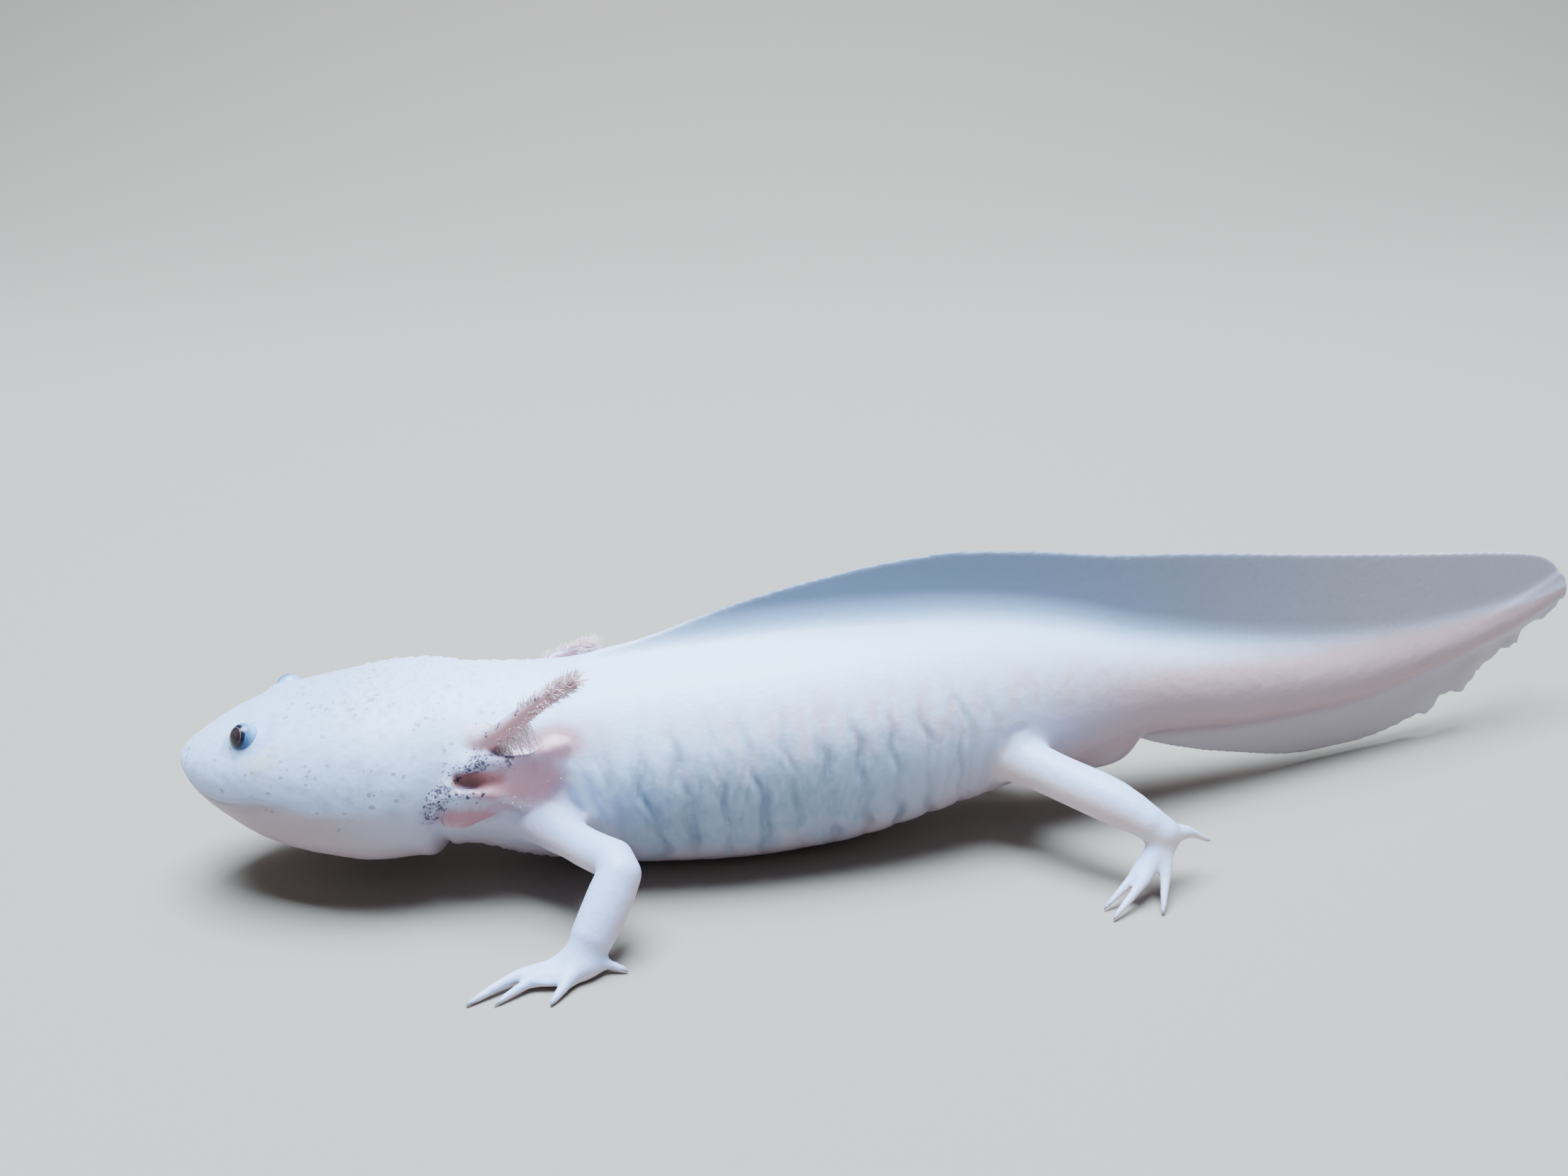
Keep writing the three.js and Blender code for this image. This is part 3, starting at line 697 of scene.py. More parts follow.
station, side = unbend(on_skin[:, 0], on_skin[:, 1])
height = on_skin[:, 2]
body = np.column_stack([station, np.abs(side), height])
top, bottom = top_height(station), bottom_height(station)
up = (height - (top + bottom) / 2) / ((top - bottom) / 2)
cloudy = soft_noise(body, (0.16, 0.16, 0.16))
streaky = soft_noise(body, (0.62, 0.2, 0.16))
fine = soft_noise(body, (1.5, 0.6, 0.45))
normals = np.empty(len(on_skin) * 3, np.float32)
skin.data.vertices.foreach_get("normal", normals)
facing_up = normals.reshape(-1, 3)[:, 2]
limb, along = nearest_on(limb_lines, on_skin)
on_leg = fade(limb, 5.8, 3.2) * fade(along, 0.10, 0.34)
remember(skin.data, "body", *body.T)
remember(skin.data, "form", up + 0.10 * (cloudy - 0.5), facing_up, fine)
remember(skin.data, "leg", on_leg, along)
print("points on the legs:", int((on_leg > 0.5).sum()), "of", len(on_skin))

# %% [markdown]
# ## Zones of the body
# The flank is blue-grey where the belly skin is thin, and a faint blush lies above it. The jaw, the
# painted shade under the lip and the fins have zones of their own. The fins keep plain distances from
# the flesh, because their triangles are wide and a mask that was faded here would show as steps.

# %% Zones of the body
ragged = up + 0.3 * (streaky - 0.5) + 0.2 * (cloudy - 0.5)
blue = (1 - on_leg) * fade(station, 60, 72) * fade(station, 124, 94)
blue = blue * fade(ragged, -0.82, -0.4) * fade(ragged, 0.45, 0.05) * (0.75 + 0.5 * (fine - 0.5))
depth = np.maximum(rib_folds(station, side, height), 0) + 1.6 * short_wrinkles(station, side, height)
blush = (1 - on_leg) * fade(up, -0.1, 0.3) * fade(up, 0.85, 0.5) * fade(station, 62, 96)
blush = blush * (0.3 + 0.7 * fade(streaky, 0.48, 0.66))
remember(skin.data, "flank", blue, np.clip(depth / 0.75, 0, 1), blush)

off_lip = height - MOUTH_LINE(station)
jaw = fade(off_lip, 0.5, -1.4) * fade(station, 44, 22)
# painted shade in a narrow band just under the upper lip
lip = fade(off_lip, -0.9, -0.25) * fade(off_lip, 0.25, -0.15) * fade(station, 17, 7)
BEHIND_EYE = (17.2, 14.2, 24.4)
patch = np.exp(-(np.linalg.norm(body - BEHIND_EYE, axis=1) / 2.6) ** 2)
remember(skin.data, "face", jaw, lip, patch)

in_plane = (np.abs(side) < FIN_ROOM) & (station > 56)
over_flesh = np.where(in_plane, height - top, -1)
under_flesh = np.where(in_plane & (station > 148), bottom - height, -1)
remember(skin.data, "fins", over_flesh, under_flesh)
print("share of blue skin:", round(float(blue.mean()), 3), "- of blush:", round(float(blush.mean()), 3))

# %% [markdown]
# ## Zones of the gills
# Blood shows pink through the thin skin round the gills. The free stalk is a zone by itself, the
# ridges of the lower gills are lilac on top, and each hollow is brownish pink with painted shade that is
# darkest where it goes in.

# %% Zones of the gills
# centre (station, side out, height), half sizes, strength
PINK_PATCHES = [
    ((54.2, 15.5, 20.6), (6.6, 4.0, 4.8), 1.0), ((49.4, 16.0, 20.0), (5.0, 3.0, 2.8), 1.0),
    ((45.6, 16.2, 15.4), (5.4, 3.0, 2.0), 1.0), ((50.5, 15.8, 16.8), (3.4, 3.0, 1.5), 0.7),
    ((48.5, 16.2, 17.6), (4.0, 3.0, 1.6), 0.5), ((54.6, 13.8, 25.8), (5.0, 3.0, 2.6), 0.75),
    ((58.4, 14.0, 25.2), (5.0, 4.0, 3.4), 1.0), ((62.5, 14.5, 25.5), (5.0, 4.0, 4.0), 0.35),
]
MIDDLE_GILL_HEIGHT = 23.4
ridge, share = nearest_on([(g[2][::5], np.linspace(0, 1, 13)) for g in gill_lines], on_skin)
stalk, _ = nearest_on([(g[2][::5], np.zeros(13)) for g in gill_lines if g[0] == "upper"], on_skin)
stalk = fade(stalk, 2.9, 2.0)
fan = 0
for centre, size, strength in PINK_PATCHES:
    off = np.linalg.norm((body - centre) / size, axis=1)
    fan = np.maximum(fan, strength * fade(off, 1.2, 0.55))
lilac = fade(ridge, 1.8, 0.7) * fade(facing_up, -0.1, 0.5) * fade(share, 0.75, 0.40) * (1 - stalk)
hollow, into = nearest_on(hollow_lines, on_skin)
pale_rim, _ = nearest_on(rim_lines, on_skin)
remember(skin.data, "gill", fan * (1 - stalk), lilac, stalk)
remember(skin.data, "veil", share, (height - MIDDLE_GILL_HEIGHT) * -0.16, fade(facing_up, 0.1, 0.7))
remember(skin.data, "hollow", fade(hollow, 1.7, 0.95) * (1 - stalk), into, fade(pale_rim, 1.0, 0.5))
print("pink points:", int((fan > 0.5).sum()), "- points on the free stalks:", int((stalk > 0.5).sum()))

# %% [markdown]
# ## Where freckles grow
# Freckles crowd on the welt at the gills' roots and thin out over cheek and crown, where a few lie
# together as faint grey smudges. None grow inside the hollows.

# %% Freckle zones
# station, side out, height; these places were worked out by a scratch program
SMUDGES = [(27.3, 16.6, 25.0), (30.0, 17.1, 24.8), (32.1, 17.6, 24.1), (33.3, 18.5, 22.0), (34.8, 17.7, 23.6),
           (37.6, 15.3, 26.5), (30.3, 18.9, 20.2), (37.6, 18.4, 19.7), (36.2, 18.7, 17.6), (26.7, 18.6, 18.8)]
SMUDGE_SIZE = (0.75, 0.9, 1.2)
welt_lines = [(bent_path(WELT, right, 15), np.zeros(15)) for right in (-1, 1)]
band, _ = nearest_on(welt_lines, on_skin)
on_ridge = fade(ridge, 2.2, 1.0) * fade(share, 0.66, 0.42) * fade(facing_up, -0.5, 0.1)
crowd = np.maximum(fade(band, 2.3, 0.8), 0.8 * on_ridge) * (0.7 + 0.3 * fade(cloudy, 0.3, 0.55))
crowd = crowd * (1 - stalk) + 0.28 * stalk * fade(facing_up, 0.0, 0.5)
sparse = 0.6 * fade(up, -0.5, 0.2) * fade(station, 62, 40) * fade(cloudy, 0.42, 0.66)
smudge = sum(np.exp(-(((body - place) / SMUDGE_SIZE) ** 2).sum(1)) for place in SMUDGES)
smudge = np.clip(smudge, 0, 1) * (0.4 + 0.6 * fine)
smudge = np.maximum(smudge, 0.5 * fade(fine, 0.60, 0.72) * fade(up, 0, 0.4) * fade(station, 60, 30))
smudge = np.maximum(smudge, fade(band, 2.6, 0.6) * fade(fine, 0.35, 0.6))
bare = 1 - fade(hollow, 1.6, 0.9)
remember(skin.data, "freckles", crowd * bare, sparse, smudge * bare)
print("crowded points:", int((crowd > 0.5).sum()), "- smudged points:", int((smudge > 0.3).sum()))

# %% [markdown]
# ## Colour recipes
# Skin colour is laid in glazes: one colour over another, as strongly as a zone says. A small class
# lays the shader nodes for that, so that a recipe reads like a list of glazes.

# %% Recipes
def tint(red, green, blue):
    """A display colour, 0 to 255, as the renderer wants it."""
    return tuple((c / 255 / 12.92) if c < 10.3 else ((c / 255 + 0.055) / 1.055) ** 2.4
                 for c in (red, green, blue)) + (1,)


class Recipe:
    """Lays shader nodes into a tree and joins them up."""
    def __init__(self, tree):
        self.tree, self.column, self.known = tree, 0, {}

    def put(self, kind, **settings):
        node = self.tree.nodes.new(kind)
        self.column += 1
        node.location = (self.column * 180, -(self.column % 5) * 160)
        for name, value in settings.items():
            setattr(node, name, value)
        return node

    def feed(self, socket, value):
        if isinstance(value, bpy.types.NodeSocket):
            self.tree.links.new(value, socket)
        elif value is not None:
            socket.default_value = value

    def sum(self, operation, a, b=None, c=None):
        node = self.put("ShaderNodeMath", operation=operation)
        for socket, value in zip(node.inputs, (a, b, c)):
            self.feed(socket, value)
        return node.outputs[0]

    def between(self, value, low, high):
        """0 below low, 1 above high, soft in between; low may be the larger."""
        node = self.put("ShaderNodeMapRange", interpolation_type="SMOOTHSTEP")
        swap = low > high
        ends = (min(low, high), max(low, high), float(swap), float(not swap))
        for socket, v in zip(node.inputs, (value, *ends)):
            self.feed(socket, v)
        return node.outputs[0]

    def all_of(self, *masks):
        result = masks[0]
        for mask in masks[1:]:
            result = self.sum("MULTIPLY", result, mask)
        return result

    def mix(self, factor, a, b):
        node = self.put("ShaderNodeMix", data_type="RGBA")
        self.feed(node.inputs[0], factor)
        self.feed(node.inputs[6], a)
        self.feed(node.inputs[7], b)
        return node.outputs[2]

    def glaze(self, under, over, *masks):
        """Lays one colour over another as strongly as all the masks agree."""
        return self.mix(self.all_of(*masks), under, over)

    def parts(self, name):
        """The three numbers remembered on the skin under a name, and the vector itself."""
        if name not in self.known:
            source = self.put("ShaderNodeAttribute", attribute_name=name)
            split = self.put("ShaderNodeSeparateXYZ")
            self.feed(split.inputs[0], source.outputs["Vector"])
            self.known[name] = (*split.outputs, source.outputs["Vector"])
        return self.known[name]

    def distance(self, vector, place):
        node = self.put("ShaderNodeVectorMath", operation="DISTANCE")
        self.feed(node.inputs[0], vector)
        self.feed(node.inputs[1], place)
        return node.outputs["Value"]

    def shaken(self, vector, scale, detail, amount):
        """Every place pushed a little by a cloudy vector."""
        cloud = self.put("ShaderNodeTexNoise")
        for name, value in (("Vector", vector), ("Scale", scale), ("Detail", detail)):
            self.feed(cloud.inputs[name], value)
        pushed = self.put("ShaderNodeVectorMath", operation="MULTIPLY_ADD")
        for socket, value in zip(pushed.inputs, (cloud.outputs["Color"], (amount,) * 3, vector)):
            self.feed(socket, value)
        return pushed.outputs[0]

    def stretched(self, vector, scale):
        node = self.put("ShaderNodeMapping")
        self.feed(node.inputs["Vector"], vector)
        self.feed(node.inputs["Scale"], scale)
        return node.outputs[0]

    def noise(self, vector, detail):
        node = self.put("ShaderNodeTexNoise")
        for name, value in (("Vector", vector), ("Scale", 1.0), ("Detail", detail)):
            self.feed(node.inputs[name], value)
        return node.outputs[0]


print("white as the renderer wants it:", tint(255, 255, 255), "- mid grey:", round(tint(128, 128, 128)[0], 3))

# %% [markdown]
# ## Freckles
# A freckle is a small cluster of dark cells. Shaken Voronoi cells give blots of uneven shape: each cell
# draws by lot whether it holds a freckle and how large it is. Crowded skin uses the recipe at three
# sizes and cheek and crown at a fourth, so it is a group with named inputs.

# %% Freckles
def make_freckle_group():
    """Dark freckles of uneven size: Amount 0 is none and 1 is crowded."""
    tree = bpy.data.node_groups.new("freckles", "ShaderNodeTree")
    for name, kind in (("Vector", "Vector"), ("Per mm", "Float"), ("Amount", "Float")):
        tree.interface.new_socket(name, in_out="INPUT", socket_type=f"NodeSocket{kind}")
    tree.interface.new_socket("Freckle", in_out="OUTPUT", socket_type="NodeSocketFloat")
    r = Recipe(tree)
    given, out = r.put("NodeGroupInput"), r.put("NodeGroupOutput")
    amount = given.outputs["Amount"]
    cells = r.put("ShaderNodeTexVoronoi", feature="F1")
    r.feed(cells.inputs["Vector"], r.shaken(given.outputs["Vector"], 1.3, 0.0, 0.5))
    r.feed(cells.inputs["Scale"], given.outputs["Per mm"])
    draw = r.put("ShaderNodeSeparateXYZ")
    r.feed(draw.inputs[0], cells.outputs["Color"])
    size = r.sum("MULTIPLY", r.sum("MULTIPLY_ADD", draw.outputs[0], 0.7, 0.3),
                 r.sum("MULTIPLY_ADD", amount, 0.28, 0.30))
    chosen = r.sum("LESS_THAN", draw.outputs[1], amount)
    spot = r.between(r.sum("SUBTRACT", size, cells.outputs["Distance"]), -0.04, 0.10)
    r.feed(out.inputs[0], r.sum("MULTIPLY", spot, chosen))
    return tree


freckle_group = make_freckle_group()


def freckles(recipe, vector, per_mm, amount):
    node = recipe.put("ShaderNodeGroup", node_tree=freckle_group)
    recipe.feed(node.inputs["Vector"], vector)
    recipe.feed(node.inputs["Per mm"], per_mm)
    recipe.feed(node.inputs["Amount"], amount)
    return node.outputs[0]


print("freckle group:", [item.name for item in freckle_group.interface.items_tree])

# %% [markdown]
# ## A material to start from
# Wet skin scatters a little light under its surface and shines softly. The radii say how deep red,
# green and blue go, in units of the scale, and red goes deepest, as in living flesh.

# %% Materials
SCATTER_DEPTH, SCATTER_COLOURS = 0.0012, (1.0, 0.55, 0.45)


def new_material(name, roughness, specular=0.4, subsurface=0.0, coat=0.0):
    material = bpy.data.materials.new(name)
    material.use_nodes = True
    shader = material.node_tree.nodes["Principled BSDF"]
    settings = {
        "Roughness": roughness, "Specular IOR Level": specular, "Subsurface Weight": subsurface,
        "Subsurface Radius": SCATTER_COLOURS, "Subsurface Scale": SCATTER_DEPTH, "Coat Weight": coat,
        "Coat Roughness": 0.12,
    }
    for socket, value in settings.items():
        shader.inputs[socket].default_value = value
    return material, shader, Recipe(material.node_tree)


print("depth of the scattered light, mm:", round(SCATTER_DEPTH / MM, 1))

# %% [markdown]
# ## Skin colours
# A pale animal is not white all over: cool white on the back, beige and lilac below, grey-blue where
# the belly skin is thin, slate fins, pink gills. The head and the underside are also darkened with
# painted shade. Painting them by hand on an image would not follow a change of shape, so every glaze
# follows a zone that the skin remembers.

# %% Colours of body, face and fins
WHITE_BACK, SHADED_HEAD, BELLY_BEIGE_AND_SHADE = tint(188, 218, 255), tint(160, 184, 224), tint(172, 156, 166)
BLUSH, THIN_FLANK, FOLD_SHADOW = tint(204, 180, 198), tint(112, 141, 168), tint(102, 120, 144)
JAW, LIP_SHADE, BEHIND_EYE_CREAM, PAINTED_EYE_SHADOW = (
    tint(174, 150, 154), tint(120, 106, 110), tint(200, 192, 178), tint(138, 172, 214))
SLATE_FIN, LILAC_FIN, LOW_FIN = tint(112, 130, 158), tint(164, 162, 177), tint(186, 176, 185)
TAIL_GREY, MUSCLE_BEIGE = tint(182, 178, 192), tint(178, 146, 154)


def glaze_body(r):
    """Cool white back with painted shade over the head, a beige belly darkened partly as painted shade, and a
    blue-grey flank with painted shade in its folds.
    """
    station, up = r.parts("body")[0], r.parts("form")[0]
    blue, crease, blush, _ = r.parts("flank")
    # painted shade: the head darker than the back
    colour = r.glaze(WHITE_BACK, SHADED_HEAD, r.between(station, 48, 20), 0.85)
    # painted shade: the underside darker than the back, over its beige
    colour = r.glaze(BELLY_BEIGE_AND_SHADE, colour, r.between(up, -0.9, 0.5))
    colour = r.glaze(colour, BLUSH, blush, 0.75)
    colour = r.glaze(colour, THIN_FLANK, blue, 0.85)
    return r.glaze(colour, FOLD_SHADOW, crease, r.sum("MULTIPLY_ADD", blue, 0.30, 0.12))


def glaze_face(r, colour):
    jaw, lip, patch, _ = r.parts("face")
    colour = r.glaze(colour, JAW, jaw, 0.8)
    # painted shade under the upper lip
    colour = r.glaze(colour, LIP_SHADE, lip, 0.75)
    colour = r.glaze(colour, BEHIND_EYE_CREAM, patch, 0.55)
    # painted shade round the eye, centred a little behind and above it
    from_eye = r.distance(r.parts("body")[3], (15.2, 11.0, 26.8))
    return r.glaze(colour, PAINTED_EYE_SHADOW, r.between(from_eye, 4.8, 2.2), 0.75)


def glaze_tail_and_fins(r, colour):
    """Pinkish beige beside the tail's muscle; slate fins that turn lilac towards the rear."""
    station, up = r.parts("body")[0], r.parts("form")[0]
    over_flesh, under_flesh, _, _ = r.parts("fins")
    rear = r.between(station, 118, 220)
    colour = r.glaze(colour, TAIL_GREY, r.between(station, 150, 215), 0.8)
    muscle_top = r.between(r.sum("MULTIPLY_ADD", rear, -0.7, up), 0.95, 0.2)
    beside = r.all_of(muscle_top, r.between(up, -1.5, -0.6))
    colour = r.glaze(colour, MUSCLE_BEIGE, r.between(station, 114, 152), beside, 0.9)
    upper = r.between(r.sum("MULTIPLY_ADD", rear, 1.6, over_flesh), 1.1, 5.8)
    colour = r.glaze(colour, r.mix(rear, SLATE_FIN, LILAC_FIN), upper)
    return r.glaze(colour, LOW_FIN, r.between(under_flesh, 0.1, 2.6))


print("glazes for body, face and fins are ready")

# %% [markdown]
# ## Colours of legs and gills
# The legs are bluish where light falls on them and beige below, with a blush at elbow and knee. The
# gills are pink with fine darker veins, and brownish where a hollow leads inwards, darkened there with
# painted shade.

# %% Colours of legs and gills
LEG_BELOW, LEG_ABOVE, UPPER_ARM = tint(220, 202, 208), tint(172, 194, 238), tint(160, 158, 200)
KNEE_PINK, TOE_TIP = tint(212, 180, 188), tint(112, 108, 120)
FAN_TOP, FAN_LOW, VEIN = tint(178, 128, 142), tint(172, 112, 122), tint(170, 108, 122)
STALK_SIDE, STALK_TOP, RIDGE_LILAC = tint(206, 156, 164), tint(196, 184, 206), tint(162, 140, 162)
HOLLOW_DEEP_SHADE, HOLLOW_MOUTH, RIM_WHITE = tint(134, 84, 80), tint(188, 128, 134), tint(212, 200, 216)


def glaze_legs(r, colour):
    """Shares along a leg run from 0 at the body to 1 at the wrist and 2 at a finger's tip."""
    station, facing_up = r.parts("body")[0], r.parts("form")[1]
    on_leg, along, _, _ = r.parts("leg")
    front = r.between(station, 100, 80)
    forearm = r.all_of(front, r.between(along, 0.5, 0.7), 0.45)
    leg = r.glaze(LEG_BELOW, LEG_ABOVE, r.between(r.sum("ADD", facing_up, forearm), -0.15, 0.8))
    bend_of_leg = r.all_of(r.between(along, 0.55, 0.78), r.between(along, 1.0, 0.85))
    leg = r.glaze(leg, KNEE_PINK, bend_of_leg, r.between(facing_up, 0.5, -0.1), 0.45)
    leg = r.glaze(leg, TOE_TIP, r.between(along, 1.86, 1.99), 0.6)
    leg = r.glaze(leg, UPPER_ARM, front, r.between(along, 0.6, 0.3), 0.5)
    return r.glaze(colour, leg, on_leg)


def glaze_gills(r, colour):
    pink, lilac, stalk, _ = r.parts("gill")
    share, down, top_side, _ = r.parts("veil")
    hollow, into, pale_rim, _ = r.parts("hollow")
    fan = r.glaze(FAN_TOP, FAN_LOW, r.between(down, -0.3, 0.9))
    vein_at = r.put("ShaderNodeCombineXYZ")
    r.feed(vein_at.inputs[0], r.sum("MULTIPLY", share, 12.0))
    r.feed(vein_at.inputs[1], r.sum("MULTIPLY", down, 1.2))
    fan = r.glaze(fan, VEIN, r.between(r.noise(vein_at.outputs[0], 1), 0.58, 0.70), 0.55)
    colour = r.glaze(colour, fan, pink, 0.9)
    colour = r.glaze(colour, r.mix(top_side, STALK_SIDE, STALK_TOP), stalk, r.between(share, 0.12, 0.3))
    colour = r.glaze(colour, RIDGE_LILAC, lilac, 0.7)
    # painted shade deep in each hollow, over brownish flesh that turns pink at its mouth
    dip = r.glaze(HOLLOW_DEEP_SHADE, HOLLOW_MOUTH, r.between(into, 0.15, 0.8))
    colour = r.glaze(colour, dip, hollow, 0.9)
    return r.glaze(colour, RIM_WHITE, pale_rim, 0.5)


print("glazes for legs and gills are ready")

# %% [markdown]
# ## Freckles on the skin
# The crowded freckles come in three sizes over a lilac cloud. The few large dark spots have places of
# their own, because they are what the eye finds first.

# %% Freckled skin
CROWD_CLOUD, SMUDGE_GREY, LONE_FRECKLE, SPOT_DARK = (
    tint(158, 148, 178), tint(134, 134, 164), tint(118, 118, 130), tint(44, 38, 52))
# how many per mm, strength, colour
CROWDED = [(2.9, 0.75, tint(74, 66, 94)), (2.0, 0.85, tint(54, 48, 72)), (1.35, 0.9, tint(50, 44, 66))]
# the few large dark spots: station, side out, height, radius; about half of the places were worked out
# by the same scratch program, and then moved a little
DARK_SPOTS = [
    (52.1, 15.9, 23.6, 0.85), (48.3, 15.4, 22.9, 0.7), (47.3, 15.4, 22.2, 0.55), (50.7, 15.6, 23.6, 0.5),
    (53.2, 15.8, 23.2, 0.42), (44.9, 15.7, 20.9, 0.6), (42.6, 16.3, 17.0, 0.5), (48.3, 17.2, 19.2, 0.32),
    (47.3, 15.9, 22.9, 0.6), (49.4, 15.4, 23.5, 0.42), (47.9, 15.5, 23.8, 0.42), (46.2, 16.0, 23.1, 0.4),
    (42.3, 17.1, 17.2, 0.45), (44.0, 16.8, 18.4, 0.35), (51.4, 16.1, 29.1, 0.5), (54.2, 17.1, 31.6, 0.45),
    (56.9, 18.2, 33.7, 0.4), (49.4, 15.2, 27.6, 0.45), (52.8, 16.6, 30.4, 0.35),
]
SPOT_SHAKE = 1.3


def glaze_freckles(r, colour):
    body = r.parts("body")[3]
    crowd, sparse, smudge, _ = r.parts("freckles")
    colour = r.glaze(colour, CROWD_CLOUD, crowd, 0.7)
    colour = r.glaze(colour, SMUDGE_GREY, smudge, 0.6)
    for per_mm, strength, shade in CROWDED:
        colour = r.glaze(colour, shade, freckles(r, body, per_mm, crowd), strength)
    lone = freckles(r, r.stretched(body, (1.0, 1.0, 1.3)), 0.8, sparse)
    colour = r.glaze(colour, LONE_FRECKLE, lone, 0.6)
    shaken, spots = r.shaken(body, 1.7, 1.0, SPOT_SHAKE), 0.0
    for *place, radius in DARK_SPOTS:
        away = r.distance(shaken, tuple(v + SPOT_SHAKE / 2 for v in place))
        spots = r.sum("MAXIMUM", spots, r.between(away, radius * 1.25, radius * 0.6))
    return r.glaze(colour, SPOT_DARK, spots, 0.92)


def make_skin_material():
    material, shader, r = new_material("axolotl skin", 0.45, specular=0.35, subsurface=0.12)
    colour = glaze_body(r)
    for glaze in (glaze_face, glaze_tail_and_fins, glaze_legs, glaze_gills, glaze_freckles):
        colour = glaze(r, colour)
    r.feed(shader.inputs["Base Color"], colour)
    bump = r.put("ShaderNodeBump")
    grain = r.noise(r.stretched(r.parts("body")[3], (1.1, 1.1, 1.1)), 2)
    for name, value in (("Strength", 0.25), ("Distance", 0.0003), ("Height", grain)):
        r.feed(bump.inputs[name], value)
    r.feed(shader.inputs["Normal"], bump.outputs[0])
    return material


skin.data.materials.append(make_skin_material())
FLESH = [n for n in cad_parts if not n.startswith("eye_")]
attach(skin, "root")
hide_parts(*FLESH)
print("skin stands for", len(FLESH), "nodes; shader nodes:", len(skin.data.materials[0].node_tree.nodes))

# %% [markdown]
# ## Eyes
# A dark iris with a thin pale ring fills most of the ball; round its edge the white of the eye is a
# thin blue skin. A plain sphere is enough, because the rings are colour only: each point remembers how
# squarely it faces the way that the iris looks, which is out sideways and a little forward.

# %% Eyes
EYE_WHITE_SHADE_AND_LIGHT = [(tint(36, 62, 100), tint(66, 114, 172)), (tint(100, 132, 174), tint(134, 178, 226))]
IRIS_EDGE, IRIS, IRIS_RING, PUPIL = tint(16, 22, 40), tint(38, 31, 34), tint(104, 98, 104), tint(66, 54, 56)
IRIS_LOOKS = (-0.56, 0.70, 0.42)        # forward, sideways and up


def make_eye_material():
    material, shader, r = new_material("eye", 0.22, specular=0.3, coat=0.1)
    facing, height, rearward, _ = r.parts("iris")
    # painted light: the blue round the iris is lighter on top of the ball and darker below
    lit = r.between(height, -0.7, 0.7)
    deep, pale = (r.mix(lit, low, high) for low, high in EYE_WHITE_SHADE_AND_LIGHT)
    colour = r.mix(r.between(facing, 0.52, 0.02), deep, pale)
    colour = r.glaze(colour, IRIS_EDGE, r.between(facing, 0.54, 0.64))
    colour = r.glaze(colour, IRIS, r.between(facing, 0.74, 0.79))
    ring = r.all_of(r.between(facing, 0.765, 0.785), r.between(facing, 0.82, 0.80))
    colour = r.glaze(colour, IRIS_RING, ring, r.between(rearward, -0.6, 0.6), 0.6)
    colour = r.glaze(colour, PUPIL, r.between(facing, 0.86, 0.97), 0.35)
    r.feed(shader.inputs["Base Color"], colour)
    return material


eye_material = make_eye_material()


def make_eye(name, right):
    forward, sideways, upward = IRIS_LOOKS
    axis = Vector((forward, right * sideways, upward)).normalized()
    bpy.ops.mesh.primitive_uv_sphere_add(segments=64, ring_count=32, radius=EYE_RADIUS * MM)
    eye = bpy.context.object
    eye.name = eye.data.name = f"eyeball_{name}"
    eye.data.transform(axis.to_track_quat("Z", "Y").to_matrix().to_4x4())
    local = points_of(eye.data) / (EYE_RADIUS * MM)
    remember(eye.data, "iris", local @ np.array(axis), local[:, 2], 0.8 * local[:, 0] + 0.6 * local[:, 2])
    eye.data.transform(Matrix.Translation((EYES[right] + ZERO) * MM))
    eye.data.polygons.foreach_set("use_smooth", np.ones(len(eye.data.polygons), bool))
    eye.data.materials.append(eye_material)
    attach(eye, "root")
    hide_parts(f"eye_{name}")
    print(eye.name, "at", (EYES[right] + ZERO).round(1), "mm")


make_eye("left", -1)
make_eye("right", 1)

# %% [markdown]
# ## One filament, two thousand times
# A gill breathes through hundreds of fine soft threads. Hair would be quick to lay but leaves no solid
# mesh, so geometry nodes build one tapered, bent thread and place it on every root, aimed the way the
# root says, turned by lot and stretched to its length.

# %% Filament nodes
THREAD_SIDES, THREAD_RINGS = 5, 6
FULL_TURN = 6.2832


